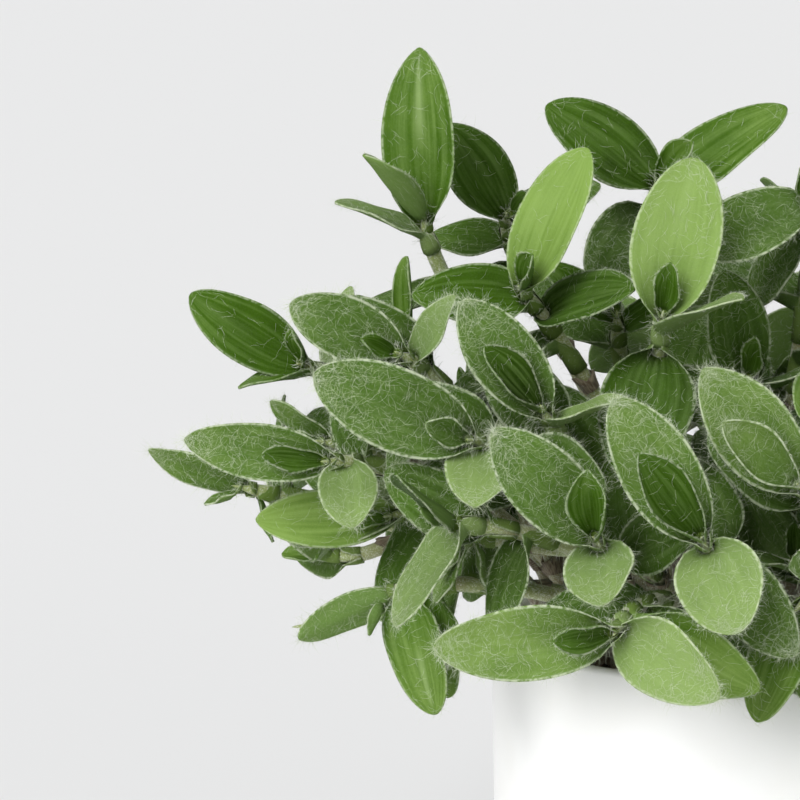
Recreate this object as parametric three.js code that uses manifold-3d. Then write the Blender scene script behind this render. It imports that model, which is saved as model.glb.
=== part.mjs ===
// A white velvet tradescantia in a plain white round pot.
//
// Millimetres, +Z up. The origin is the centre of the pot's flat foot. The plant is seen in the
// photograph from the -Y side. Each stem stands in a blind hole in the potting soil and carries
// its leaves, and any side shoots, as one solid.

import * as THREE from 'three';
import { mergeVertices } from 'three/addons/utils/BufferGeometryUtils.js';
import Module from 'manifold-3d';

const wasm = await Module();
wasm.setup();

// Driving sizes.

const POT_HEIGHT = 115;
const POT_RIM_RADIUS = 65;
const POT_FOOT_RADIUS = 62.8;
const POT_WALL = 4;
const POT_FLOOR = 5;
const POT_SIDES = 48;
const SOIL_DROP = 14; // from the rim down to the soil
const SOIL_TOP = POT_HEIGHT - SOIL_DROP;
const FIT_GAP = 0.4; // between neighbours that touch in the real thing

const STEM_RADIUS = 2.1;
const STEM_CORNER = 2.35; // a square stem of the same area
const FOOT_DEPTH = 11; // how deep a stem stands in the soil
const HOLE_DEPTH = 13;
const HOLE_RADIUS = 3.1;
const HOLE_SIDES = 6;
const FOOT_RISE = 4.5; // a stem leaves its upright foot this far over the soil
const SITE_COUNT = 68; // places for stems, in a sunflower spiral on the soil
const SITE_REACH = 53;

const LEAF_THICKNESS = 1.7;
const NODES_FROM_TIP = [1, 3.5, 8, 16, 27, 40, 54]; // where leaves sit on a stem
const CLASP_TOPS = [0.2, 2.4, 6.5, 14.5, 25, 38, 52]; // where each leaf's foot begins
const CLASP_ENDS = [2.4, 6.5, 12, 20, 31, 44, 58]; // and where it ends, further down
const FORK_HALF = 2.4; // half of the length of stem that a side shoot grows from
const LONGEST_STEP = 26; // between two rings of a stem
const BENT_STEP = 12; // the same where the stem bends sharply
const PATH_STEPS = 24;

const LEAF_REACH = 2.4; // radius kept clear round each point of a leaf
const STEM_REACH = 2.7;
const HEAD_REACH = 5;
const OWN_LEAF_REACH = 3.2; // between two leaves of one shoot
const OWN_LEAF_REACH_INSIDE = 4.2; // the same, further down the stem
const OWN_STEM_REACH = 3.6; // between a leaf and its own stem
const LOWEST_LEAF = 24; // over the floor
const NEIGHBOURHOOD = 400; // no two points of the plant are further apart
const GOLDEN_ANGLE = Math.PI * (3 - Math.sqrt(5));
const CROWN = [0, 0, POT_HEIGHT + 14]; // centre of the dome of leaves
const DOME_COUNT = 72;
const MAIN_STEMS = 56;
const SPUR_COUNT = 22;
const MAIN_SPACING = 30; // between growing points
const SIDE_SPACING = 25;
const SPUR_SPACING = 26;
const POT_MARGIN = 14; // growing points stay this far from the pot
const FORKS_APART = 7;
const FORK_FROM_TIP = 26; // a side shoot leaves its stem at least this far down
const SITES_TRIED = 16;
const MAIN_RISES = [0.42, 0.55, 0.3]; // how long a stem goes on upright, as a share of its span
const MAIN_BOWS = [0, 14, -14, 28, -28, 42, -42]; // and how far it bows to the side
const FORK_SHARES = [0.4, 0.5, 0.3, 0.6, 0.45, 0.35]; // of the stem, back from its tip
const SIDE_RISES = [0.3, 0.2, 0.45];
const SIDE_BOWS = [0, 10, -10];

// The shoots that the photograph shows.
//
// head: the growing point of the shoot. aim: the way it grows, as degrees round the picture
// from +X, and degrees of lean toward the viewer. leaves: youngest first, each as
// [length, turn, lean, width over length] and, for a blade that twists, the turn and lean of the
// axis that it faces. older: how many leaves follow further down. side_of: the shoot that it
// branches from.

const PHOTO_SHOOTS = [
  { id: 'R', head: [-38, -118, 139.5], aim: [215, 76], older: 3,
    leaves: [[16, 180, 34, 0.5], [43, 187, 0, 0.43], [29, 326, 22, 0.66], [36, 331, 2, 0.52]] },
  { id: 'K', head: [-42, -95, 159], aim: [114, 56], older: 3,
    leaves: [[20, 98, 30, 0.62], [37, 131, 2, 0.5], [18, 268, 50, 1], [24, 320, 6, 0.66]] },
  { id: 'L', head: [-16, -105, 161], aim: [112, 56], older: 3,
    leaves: [[28, 124, 20, 0.52], [40, 129, -4, 0.47], [24, 293, 34, 0.9], [31, 309, 12, 0.56]] },
  { id: 'J', head: [-73, -76, 180], aim: [160, 50], older: 3,
    leaves: [[13, 155, 34, 0.6], [43, 156, 3, 0.49], [19, 258, 50, 0.95, 104, 50]] },
  { id: 'I', head: [-54, -62, 186], aim: [114, 36], older: 3,
    leaves: [[22, 130, 16, 0.52], [35, 126, -3, 0.5], [27, 30, 44, 0.5, 100, 8]] },
  { id: 'H', head: [9, -88, 171], aim: [116, 52], older: 3,
    leaves: [[27, 138, 22, 0.52], [38, 131, 0, 0.52], [32, 330, 25, 0.6]] },
  { id: 'M', head: [-80, -84, 160], aim: [170, 56], older: 3,
    leaves: [[10, 150, 40, 0.5], [22, 139, 26, 0.78], [30, 232, 16, 0.62]] },
  { id: 'U', head: [8, -92, 139], aim: [260, 60], older: 3,
    leaves: [[12, 235, 40, 0.5], [30, 250, 2, 0.52], [28, 275, 14, 0.62]] },
  { id: 'A', head: [-84, -10, 229], aim: [98, 25], older: 2,
    leaves: [[28, 126, 34, 0.45], [46, 92, -4, 0.45], [25, 157, 4, 0.5, 92, 10]] },
  { id: 'A5', head: [-89, -14, 195], aim: [104, 20], older: 0,
    leaves: [[23, 92, 5, 0.36], [20, 128, 6, 0.42], [14, 150, -20, 0.5]] },
  { id: 'B', head: [-59, -35, 213], aim: [112, 62], older: 2,
    leaves: [[13, 84, 46, 0.68], [40, 68, 6, 0.48], [30, 176, 14, 0.58, 100, 58]] },
  { id: 'C', head: [-61, 12, 226], aim: [85, 55], older: 2,
    leaves: [[9, 60, 40, 0.5], [29, 121, 0, 0.6], [26, 25, -5, 0.5], [22, 178, -12, 0.6]] },
  { id: 'D', head: [-22, -15, 238], aim: [92, 60], older: 1,
    leaves: [[16, 60, 36, 0.6], [35, 143, 2, 0.56], [40, 35, -4, 0.42], [25, 228, 18, 0.85]] },
  { id: 'E', head: [-23, -60, 210], aim: [84, 42], older: 2,
    leaves: [[14, 86, 26, 0.52], [41, 80, -4, 0.54], [30, 34, 44, 0.5, 95, 10], [34, 258, 20, 0.72]] },
  { id: 'F', head: [16, -40, 236], aim: [105, 55], older: 3,
    leaves: [[14, 100, 40, 0.55], [32, 200, 12, 0.6], [34, 40, 5, 0.5], [24, 235, -15, 0.6]] },
  { id: 'G', head: [1, -35, 189], aim: [88, 48], older: 3,
    leaves: [[12, 85, 30, 0.5], [30, 103, 0, 0.56], [26, 25, 30, 0.5, 90, 5]] },
  { id: 'N', head: [-110, -48, 169], aim: [172, 44], older: 3,
    leaves: [[16, 172, 18, 0.42], [38, 173, -4, 0.38], [18, 276, 40, 0.85, 98, 42]] },
  { id: 'X', head: [-94, -36, 152], aim: [184, 34], older: 2,
    leaves: [[10, 186, 22, 0.4], [36, 182, 3, 0.42], [30, 197, -8, 0.42, 105, 40]] },
  { id: 'Y', head: [-134, -20, 157], aim: [165, 10], older: 1,
    leaves: [[9, 200, 0, 0.4], [28, 160, -2, 0.36], [12, 285, 5, 0.4]] },
  { id: 'Z', head: [-112, -24, 170], aim: [165, 25], older: 1,
    leaves: [[8, 165, 20, 0.4], [18, 146, 2, 0.45], [13, 178, 24, 0.6]] },
  { id: 'O', head: [-117, -20, 190], aim: [150, 50], older: 2,
    leaves: [[11, 110, 34, 0.55], [35, 148, 2, 0.47], [21, 192, 22, 0.55, 120, 10], [23, 78, -10, 0.55]] },
  { id: 'P', head: [-91, -50, 198], aim: [145, 50], older: 3,
    leaves: [[11, 150, 35, 0.5], [31, 154, 4, 0.52], [20, 60, 15, 0.5]] },
  { id: 'Q', head: [-96, -52, 133], aim: [236, 60], older: 2,
    leaves: [[10, 245, 40, 0.4], [26, 206, 0, 0.4], [32, 285, 8, 0.5, 200, 68], [31, 278, -12, 0.46, 200, 60]] },
  { id: 'V', head: [-32, -8, 202], aim: [98, 34], older: 3,
    leaves: [[17, 102, 2, 0.45], [23, 138, 8, 0.5], [20, 30, 0, 0.5]] },
  { id: 'B5', head: [-76, -62, 149], aim: [230, 45], older: 0, side_of: 'M',
    leaves: [[9, 230, 30, 0.5], [16, 246, 5, 0.6], [12, 280, 25, 0.6]] },
];

// A shoot that the photograph doesn't show: [length, degrees off the stem, width over length].
const PLAIN_LEAVES = [[13, 18, 0.5], [30, 32, 0.56], [36, 58, 0.55], [35, 76, 0.55]];

// Small vector functions.

const rad = (degrees) => degrees * Math.PI / 180;
const add = (a, b) => [a[0] + b[0], a[1] + b[1], a[2] + b[2]];
const sub = (a, b) => [a[0] - b[0], a[1] - b[1], a[2] - b[2]];
const scale = (a, k) => [a[0] * k, a[1] * k, a[2] * k];
const dot = (a, b) => a[0] * b[0] + a[1] * b[1] + a[2] * b[2];
const cross = (a, b) => [
  a[1] * b[2] - a[2] * b[1],
  a[2] * b[0] - a[0] * b[2],
  a[0] * b[1] - a[1] * b[0],
];
const size = (a) => Math.sqrt(dot(a, a));
const unit = (a) => scale(a, 1 / size(a));
const away = (a, b) => size(sub(a, b));
const clampCos = (c) => Math.max(-1, Math.min(1, c));

function turned(v, axis, angle) {
  const c = Math.cos(angle);
  const along = scale(axis, dot(axis, v) * (1 - c));
  return add(add(scale(v, c), scale(cross(axis, v), Math.sin(angle))), along);
}

// The direction that is turned this far round the picture and leans this far toward the viewer.
function heading(turn, lean) {
  const flat = Math.cos(rad(lean));
  return [Math.cos(rad(turn)) * flat, -Math.sin(rad(lean)), Math.sin(rad(turn)) * flat];
}

// A repeatable stream of numbers from 0 to 1.
function makeDice(seed) {
  let state = seed >>> 0;
  return (low, high) => {
    state = (state + 0x6D2B79F5) >>> 0;
    let t = state;
    t = Math.imul(t ^ (t >>> 15), t | 1);
    t ^= t + Math.imul(t ^ (t >>> 7), t | 61);
    return low + (high - low) * ((t ^ (t >>> 14)) >>> 0) / 4294967296;
  };
}

// What is already taken.

class Space {
  constructor() {
    this.balls = [];
  }

  take(points, reach, owner) {
    points.forEach((at) => this.balls.push({ at, reach, owner }));
  }

  release(reach) {
    this.balls = this.balls.filter((ball) => ball.reach !== reach);
  }

  near(centre, reach, owner) {
    return this.balls.filter((ball) => ball.owner !== owner && away(ball.at, centre) < reach);
  }
}

const gapTo = (balls, points, reach) => {
  let gap = Infinity;
  points.forEach((point) => balls.forEach((ball) => {
    gap = Math.min(gap, away(ball.at, point) - ball.reach - reach);
  }));
  return gap;
};

const radiusOf = (p) => Math.hypot(p[0], p[1]);

const leafClearsPot = (points) => points.every((p) => p[2] > LOWEST_LEAF
  && !(p[2] < POT_HEIGHT + LEAF_REACH + 1 && radiusOf(p) < POT_RIM_RADIUS + LEAF_REACH + 1));

const stemClearsPot = (points) => points.every((p) => !(p[2] < POT_HEIGHT + STEM_REACH + 1
  && radiusOf(p) > POT_RIM_RADIUS - POT_WALL - STEM_REACH
  && radiusOf(p) < POT_RIM_RADIUS + STEM_REACH));

// A stem's path.

class Path {
  constructor(root, head, aim, rise, up, bow) {
    const span = away(head, root);
    const flat = sub(head, root);
    const side = unit([-flat[1], flat[0], 1e-6]);
    const leave = add(add(root, scale(up, rise * span)), scale(side, bow));
    const arrive = add(sub(head, scale(aim, 0.32 * span)), scale(side, bow * 0.5));
    this.corners = [root, leave, arrive, head];
    this.points = [];
    this.arc = [0];
    for (let i = 0; i <= PATH_STEPS; i += 1) {
      this.points.push(this.pointAt(i / PATH_STEPS));
      if (i > 0) {
        this.arc.push(this.arc[i - 1] + away(this.points[i], this.points[i - 1]));
      }
    }
    this.length = this.arc[PATH_STEPS];
    this.smooth = this.straightest() > 0.9;
  }

  // How little the path turns at its sharpest corner, as a cosine.
  straightest() {
    const steps = this.points.slice(1).map((p, i) => unit(sub(p, this.points[i])));
    return Math.min(...steps.slice(1).map((step, i) => dot(step, steps[i])));
  }

  pointAt(t) {
    const u = 1 - t;
    const [a, b, c, d] = this.corners;
    const early = add(scale(a, u * u * u), scale(b, 3 * u * u * t));
    return add(early, add(scale(c, 3 * u * t * t), scale(d, t * t * t)));
  }

  // The point and the direction at this distance back from the tip.
  back(distance) {
    const s = Math.max(0, this.length - distance);
    let i = 0;
    while (i < PATH_STEPS - 1 && this.arc[i + 1] <= s) {
      i += 1;
    }
    const part = (s - this.arc[i]) / (this.arc[i + 1] - this.arc[i]);
    const from = this.points[i];
    const at = add(from, scale(sub(this.points[i + 1], from), part));
    const ahead = this.points[Math.min(PATH_STEPS, i + 2)];
    return { at, along: unit(sub(ahead, this.points[Math.max(0, i - 1)])) };
  }
}

// A leaf's form.
//
// The midrib leaves the stem at an opening angle and arches away from it. The blade is broad at
// its clasping base, widest before the middle, and boat-shaped, with the hollow side to the stem.

const WIDEST = 0.46;
const BASE_SHARE = 0.5;

function widthShare(t) {
  if (t < WIDEST) {
    return 1 - (1 - BASE_SHARE) * ((WIDEST - t) / WIDEST) ** 2;
  }
  const x = (t - WIDEST) / (1 - WIDEST);
  return (1 - x * x) ** 0.8;
}

const cupAngle = (t) => rad(16 + 60 * Math.exp(-t / 0.16));

class Leaf {
  constructor(node, axis, toward, length, ratio, arch) {
    const d = unit(toward);
    const c = clampCos(dot(d, axis));
    this.node = node;
    this.axis = axis;
    this.length = length;
    this.width = ratio * length;
    this.out = unit(sub(d, scale(axis, c)));
    this.side = cross(axis, this.out);
    this.bend = rad(arch);
    this.start = Math.acos(c) - this.bend / 2;
  }

  midrib(t) {
    const from = this.start;
    const to = this.start + this.bend * t;
    const rise = scale(this.axis, Math.sin(to) - Math.sin(from));
    const reach = scale(this.out, Math.cos(from) - Math.cos(to));
    const foot = add(this.node, scale(this.out, STEM_RADIUS));
    return add(foot, scale(add(rise, reach), this.length / this.bend));
  }

  // The way that the hollow upper face looks.
  face(t) {
    const f = this.start + this.bend * t;
    return sub(scale(this.axis, Math.sin(f)), scale(this.out, Math.cos(f)));
  }

  // A point of the blade: t along the midrib, v from -1 to 1 across.
  point(t, v) {
    const cup = cupAngle(t);
    const swing = this.width / 2 * widthShare(t) / cup;
    const across = scale(this.side, swing * Math.sin(v * cup));
    return add(add(this.midrib(t), across), scale(this.face(t), swing * (1 - Math.cos(v * cup))));
  }

  samples() {
    const points = [];
    for (let i = 0; i < 8; i += 1) {
      const t = i < 7 ? 0.15 + 0.12 * i : 0.97;
      [-0.85, -0.3, 0.3, 0.85].forEach((v) => points.push(this.point(t, v)));
    }
    return points;
  }
}

// Growing the plant.

// Ways to move a leaf that would run into another: [swing round the stem, opening, length].
const SMALL_MOVES = [1, 0.93, 0.86].flatMap((k) => [
  [0, 0], [0, 5], [0, -5], [7, 0], [-7, 0], [0, 9], [0, -9], [9, 6], [-9, -6], [9, -6], [-9, 6],
  [0, 14], [0, -14], [14, 0], [-14, 0], [16, 10], [16, -10], [-16, 10], [-16, -10],
].map(([swing, tilt]) => [swing, tilt, k]));

const LARGE_MOVES = [1, 0.85, 0.7, 0.55].flatMap((k) => [0, -14, 14, -28, 26].flatMap((tilt) => [
  0, 20, -20, 40, -40, 60, -60].map((swing) => [swing, tilt, k])));

const SITES = Array.from({ length: SITE_COUNT }, (_, i) => {
  const r = SITE_REACH * Math.sqrt((i + 0.5) / SITE_COUNT);
  return [r * Math.cos(i * GOLDEN_ANGLE), r * Math.sin(i * GOLDEN_ANGLE)];
});

// The photographed side is written out above, and background shows behind its upper left.
function photographed(p) {
  const seenHeight = p[2] + 0.18 * p[1];
  if (p[0] < 18 && p[1] < -5) {
    return true;
  }
  return p[0] < -12 ? seenHeight > 177 : p[0] < 26 && seenHeight > 213;
}

// Whether a leaf's point lies where the photograph shows only background.
function overBackground(p) {
  const seenHeight = p[2] + 0.18 * p[1];
  const left = (p[0] < -97 && (seenHeight < 127 || seenHeight > 207)) || (p[0] < -128 && seenHeight < 150);
  return left || (p[0] < -72 && seenHeight < 96) || (p[0] < -12 && seenHeight > 213);
}

class Plant {
  constructor() {
    this.dice = makeDice(11);
    this.space = new Space();
    this.shoots = PHOTO_SHOOTS.map((row) => ({ ...row, aim: heading(...row.aim) }));
    this.addDome();
    this.addSideShoots();
    this.addSpurs();
    this.shoots.forEach((shoot, i) => {
      shoot.owner = i;
      shoot.forks = [];
    });
    this.mains = this.shoots.filter((shoot) => !shoot.side_of);
    this.layStems();
    this.shoots = this.shoots.filter((shoot) => shoot.path);
    this.growLeaves();
  }

  mainOf(shoot) {
    return shoot.side_of ? this.shoots.find((other) => other.id === shoot.side_of) : shoot;
  }

  spare(p) {
    return Math.min(...this.shoots.map((shoot) => away(p, shoot.head)));
  }

  lean(low, high) {
    return [this.dice(-0.3, 0.3), this.dice(-0.3, 0.3), this.dice(low, high)];
  }

  // Shoots all round the sides that the photograph doesn't show, on a golden spiral.
  addDome() {
    for (let i = 0; i < DOME_COUNT; i += 1) {
      const up = 1 - 1.16 * (i + 0.5) / DOME_COUNT;
      const flat = Math.sqrt(Math.max(0, 1 - up * up));
      const q = [Math.cos(i * GOLDEN_ANGLE) * flat, Math.sin(i * GOLDEN_ANGLE) * flat, up];
      const k = this.dice(0.9, 1.05);
      const reach = [q[0] > 0 ? 128 : 118, 112, up > 0 ? 106 : 60];
      const head = add(CROWN, [q[0] * reach[0] * k, q[1] * reach[1] * k, q[2] * reach[2] * k]);
      const aim = unit(add(q, this.lean(0.15, 0.6)));
      const mains = this.shoots.filter((shoot) => !shoot.side_of).length;
      if (mains < MAIN_STEMS && !photographed(head) && this.spare(head) > MAIN_SPACING) {
        this.shoots.push({ id: `d${i}`, head, aim, older: 1, plain: 4 });
      }
    }
  }

  // One side shoot on each of those stems, where there is room for it.
  addSideShoots() {
    this.shoots.filter((shoot) => shoot.plain).forEach((main) => {
      const e1 = unit(cross(main.aim, [0.1, 0.2, 1]));
      const e2 = cross(main.aim, e1);
      const roll = this.dice(-Math.PI, Math.PI);
      const far = this.dice(30, 42);
      const back = this.dice(4, 16);
      const lean = this.lean(0.15, 0.6);
      for (let k = 0; k < 10; k += 1) {
        const t = roll + k * Math.PI / 5;
        const round = add(scale(e1, Math.cos(t) * far), scale(e2, Math.sin(t) * far));
        const head = sub(add(main.head, round), scale(main.aim, back));
        const inPot = head[2] < POT_HEIGHT + POT_MARGIN
          && radiusOf(head) < POT_RIM_RADIUS + POT_MARGIN;
        const spaced = head[2] > POT_HEIGHT - 16 && this.spare(head) > SIDE_SPACING;
        if (!photographed(head) && spaced && !inPot) {
          const aim = unit(add(unit(sub(head, CROWN)), lean));
          this.shoots.push({ id: `${main.id}s`, head, aim, older: 0, plain: 3, side_of: main.id });
          break;
        }
      }
    });
  }

  // Short side shoots that fill the inside of the dome.
  addSpurs() {
    const mains = this.shoots.filter((shoot) => !shoot.side_of).reverse();
    let made = 0;
    mains.forEach((main) => {
      const roll = this.dice(-Math.PI, Math.PI);
      const far = this.dice(0.42, 0.6);
      const lean = this.lean(0.3, 0.9);
      for (let k = 0; k < 8 && made < SPUR_COUNT; k += 1) {
        const t = roll + k * Math.PI / 4;
        const core = [main.head[0] * far, main.head[1] * far, 128 + (main.head[2] - 128) * far];
        const head = add(core, [Math.cos(t) * 16, Math.sin(t) * 16, 3]);
        const open = head[0] < -12 && head[2] + 0.18 * head[1] > 184;
        if (head[2] > 132 && !open && this.spare(head) > SPUR_SPACING) {
          const aim = unit(add(unit(sub(head, CROWN)), lean));
          this.shoots.push({ id: `${main.id}t`, head, aim, older: 0, plain: 3, small: true,
            side_of: main.id });
          made += 1;
          break;
        }
      }
    });
  }

  layStems() {
    const reserve = (shoot) => [0, 6, 12].map((d) => sub(shoot.head, scale(shoot.aim, d)));
    this.shoots.forEach((shoot) => this.space.take(reserve(shoot), HEAD_REACH, shoot.owner));
    const free = SITES.map((_, i) => i);
    this.mains.forEach((shoot) => {
      const { path, site } = this.mainPath(shoot, free);
      free.splice(free.indexOf(site), 1);
      shoot.site = site;
      shoot.path = path;
      this.space.take(path.points, STEM_REACH, shoot.owner);
    });
    this.shoots.filter((shoot) => shoot.side_of).forEach((shoot) => {
      shoot.path = this.sidePath(shoot, this.mainOf(shoot));
      if (shoot.path) {
        this.space.take(shoot.path.points.slice(3), STEM_REACH, shoot.owner);
      }
    });
    this.space.release(HEAD_REACH);
  }

  // The first free site and bow whose path clears the pot and every other stem.
  mainPath(shoot, free) {
    const ideal = [shoot.head[0] * 0.36, shoot.head[1] * 0.36];
    const farFrom = (i) => (SITES[i][0] - ideal[0]) ** 2 + (SITES[i][1] - ideal[1]) ** 2;
    const sites = [...free].sort((a, b) => farFrom(a) - farFrom(b)).slice(0, SITES_TRIED);
    const others = this.space.near(shoot.head, NEIGHBOURHOOD, shoot.owner);
    let best = { gap: -Infinity };
    for (const site of sites) {
      for (const rise of MAIN_RISES) {
        for (const bow of MAIN_BOWS) {
          const root = [...SITES[site], SOIL_TOP + FOOT_RISE];
          const path = new Path(root, shoot.head, shoot.aim, rise, [0, 0, 1], bow);
          const fits = path.smooth && stemClearsPot(path.points);
          const gap = fits ? gapTo(others, path.points, STEM_REACH) : -99;
          if (gap > best.gap) {
            best = { gap, path, site };
          }
          if (best.gap >= 0) {
            return best;
          }
        }
      }
    }
    return best;
  }

  sidePath(shoot, main) {
    const others = this.space.near(shoot.head, NEIGHBOURHOOD, shoot.owner);
    for (const share of FORK_SHARES) {
      const distance = main.path.length * share;
      const crowded = main.forks.some((fork) => Math.abs(fork.distance - distance) < FORKS_APART);
      if (crowded || distance < FORK_FROM_TIP) {
        continue;
      }
      const { at, along } = main.path.back(distance);
      const off = sub(shoot.head, at);
      const out = unit(sub(off, scale(along, dot(off, along))));
      const leave = unit(add(scale(along, 0.5), scale(out, 0.85)));
      const clear = others.filter((ball) => ball.owner !== main.owner || away(ball.at, at) > 9);
      for (const rise of SIDE_RISES) {
        for (const bow of SIDE_BOWS) {
          const path = new Path(at, shoot.head, shoot.aim, rise, leave, bow);
          const free = path.points.filter((p) => away(p, at) > 11);
          const leaves = path.points.filter((p) => away(p, at) > 7)
            .every((p) => main.path.points.every((q) => away(p, q) > 4.9));
          const fits = path.smooth && leaves && stemClearsPot(path.points);
          if (fits && gapTo(clear, free, STEM_REACH) >= 0) {
            main.forks.push({ distance, shoot });
            return path;
          }
        }
      }
    }
    return null;
  }

  growLeaves() {
    this.shoots.forEach((shoot) => {
      const { along } = shoot.path.back(1);
      shoot.grown = [];
      shoot.own = [];
      shoot.fan = unit(cross(along, [0.1, 0.2, 1]));
      if (shoot.plain) {
        shoot.fan = turned(shoot.fan, along, this.dice(-Math.PI, Math.PI));
      }
    });
    this.shoots.filter((shoot) => shoot.leaves).forEach((shoot) => this.growPhotoLeaves(shoot));
    this.shoots.filter((shoot) => shoot.plain).forEach((shoot) => this.growPlainLeaves(shoot));
    this.shoots.forEach((shoot) => this.growOlderLeaves(shoot));
  }

  growPhotoLeaves(shoot) {
    shoot.leaves.forEach(([length, turn, lean, ratio, ...stand], i) => {
      const { along } = shoot.path.back(NODES_FROM_TIP[i]);
      const axis = stand.length ? heading(...stand) : along;
      const arch = i === 0 ? 8 : 25;
      const leaf = this.place(shoot, i, axis, heading(turn, lean), length, ratio, arch, false);
      if (leaf && i === 1) {
        shoot.fan = leaf.out;
      }
    });
  }

  growPlainLeaves(shoot) {
    const vigour = this.dice(0.85, 1.1) * (shoot.small ? 0.8 : 1);
    PLAIN_LEAVES.slice(0, shoot.plain).forEach(([length, opening, ratio], i) => {
      const swing = rad(this.dice(-14, 14));
      const open = rad(opening + this.dice(-7, 7));
      const long = length * vigour * this.dice(0.92, 1.08);
      this.placeByAngle(shoot, i, swing, open, long, ratio, i === 0 ? 8 : 26, i > 2);
    });
  }

  growOlderLeaves(shoot) {
    const first = shoot.plain || shoot.leaves.length;
    for (let k = 0; k < shoot.older; k += 1) {
      const swing = rad(this.dice(-30, 30));
      const open = rad(74 + 5 * k + this.dice(-8, 8));
      const long = this.dice(28, 38);
      const top = CLASP_TOPS[first + k] - FORK_HALF - 0.5;
      const end = CLASP_ENDS[first + k] + FORK_HALF + 0.5;
      const free = shoot.forks.every(({ distance }) => distance < top || distance > end);
      if (free && end < shoot.path.length - 8) {
        this.placeByAngle(shoot, first + k, swing, open, long, 0.55, 30, true);
      }
    }
  }

  placeByAngle(shoot, i, swing, open, length, ratio, arch, strict) {
    const { along } = shoot.path.back(NODES_FROM_TIP[i]);
    const round = turned(scale(shoot.fan, i % 2 ? 1 : -1), along, swing);
    const out = unit(sub(round, scale(along, dot(round, along))));
    const toward = add(scale(along, Math.cos(open)), scale(out, Math.sin(open)));
    this.place(shoot, i, along, toward, length, ratio, arch, strict);
  }

  // Tries the leaf as wanted, then moved, and keeps the first that clears everything else.
  place(shoot, i, axis, toward, length, ratio, arch, strict) {
    const { at } = shoot.path.back(NODES_FROM_TIP[i]);
    const open = Math.acos(clampCos(dot(toward, axis)));
    const out = unit(sub(toward, scale(axis, dot(toward, axis))));
    const others = this.space.near(at, length + 20, shoot.owner);
    for (const [swing, tilt, k] of shoot.leaves && !strict ? SMALL_MOVES : LARGE_MOVES) {
      const angle = open + rad(tilt);
      if (angle < 0.05) {
        continue;
      }
      const round = turned(out, axis, rad(swing));
      const way = add(scale(axis, Math.cos(angle)), scale(round, Math.sin(angle)));
      const leaf = new Leaf(at, axis, way, length * k, ratio, arch);
      const points = leaf.samples();
      if (!leafClearsPot(points) || gapTo(others, points, LEAF_REACH) < 0) {
        continue;
      }
      if ((shoot.plain || strict) && points.some(overBackground)) {
        continue;
      }
      const outer = points.slice(4);
      const stem = shoot.path.points.filter((p) => away(p, at) > 7);
      const reach = strict ? OWN_LEAF_REACH_INSIDE : OWN_LEAF_REACH;
      const tangled = outer.some((p) => shoot.own.some((q) => away(p, q) < reach))
        || points.slice(8).some((p) => stem.some((q) => away(p, q) < OWN_STEM_REACH));
      if (tangled && (shoot.plain || strict)) {
        continue;
      }
      leaf.order = i;
      shoot.grown.push(leaf);
      shoot.own.push(...outer);
      this.space.take(points, LEAF_REACH, shoot.owner);
      return leaf;
    }
    return null;
  }
}

// Solids.

function toSolid(geometry) {
  const bare = geometry.index ? geometry.toNonIndexed() : geometry.clone();
  bare.deleteAttribute('normal');
  bare.deleteAttribute('uv');
  const merged = mergeVertices(bare, 1e-4);
  return new wasm.Manifold(new wasm.Mesh({
    numProp: 3,
    vertProperties: Float32Array.from(merged.attributes.position.array),
    triVerts: Uint32Array.from(merged.index.array),
  }));
}

function toMesh(name, solid, material) {
  const mesh = solid.getMesh();
  const geometry = new THREE.BufferGeometry();
  geometry.setAttribute('position', new THREE.BufferAttribute(mesh.vertProperties, 3));
  geometry.setIndex(new THREE.BufferAttribute(mesh.triVerts, 1));
  geometry.computeVertexNormals();
  const piece = new THREE.Mesh(geometry, material);
  piece.name = name;
  return piece;
}

const finish = (name, colour, roughness) => {
  const material = new THREE.MeshStandardMaterial({ color: colour, roughness, metalness: 0 });
  material.name = name;
  return material;
};

const GLAZE = finish('white_glazed_ceramic', 0xf6f6f4, 0.35);
const EARTH = finish('peaty_potting_soil', 0x3a2d24, 0.95);
const FOLIAGE = finish('velvety_green_leaf', 0x5f8436, 0.75);

// The wall's radius at this height, outside.
const potRadius = (z) => POT_FOOT_RADIUS + (POT_RIM_RADIUS - POT_FOOT_RADIUS) * z / POT_HEIGHT;

function makePot() {
  const outline = [
    [0, 0], [POT_FOOT_RADIUS - 2, 0], [potRadius(2), 2],
    [potRadius(POT_HEIGHT - 1), POT_HEIGHT - 1], [POT_RIM_RADIUS - 1, POT_HEIGHT],
    [POT_RIM_RADIUS - POT_WALL + 1, POT_HEIGHT], [POT_RIM_RADIUS - POT_WALL, POT_HEIGHT - 1],
    [potRadius(POT_FLOOR + 2) - POT_WALL, POT_FLOOR + 2],
    [potRadius(POT_FLOOR) - POT_WALL - 2, POT_FLOOR], [0, POT_FLOOR],
  ].map(([r, z]) => new THREE.Vector2(r, z));
  const geometry = new THREE.LatheGeometry(outline, POT_SIDES);
  geometry.rotateX(Math.PI / 2);
  return toSolid(geometry);
}

function makePlug(radiusTop, radiusBottom, bottom, top, sides) {
  const geometry = new THREE.CylinderGeometry(radiusTop, radiusBottom, top - bottom, sides);
  geometry.rotateX(Math.PI / 2);
  geometry.translate(0, 0, (top + bottom) / 2);
  return geometry;
}

function makeSoil(sites) {
  const bottom = POT_FLOOR + 2 + FIT_GAP;
  const inside = (z) => potRadius(z) - POT_WALL - FIT_GAP;
  let soil = toSolid(makePlug(inside(SOIL_TOP), inside(bottom), bottom, SOIL_TOP, POT_SIDES));
  sites.forEach(([x, y]) => {
    const hole = makePlug(HOLE_RADIUS, HOLE_RADIUS, SOIL_TOP - HOLE_DEPTH, SOIL_TOP + 1,
      HOLE_SIDES);
    hole.translate(x, y, 0);
    soil = soil.subtract(toSolid(hole));
  });
  return soil;
}

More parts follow.
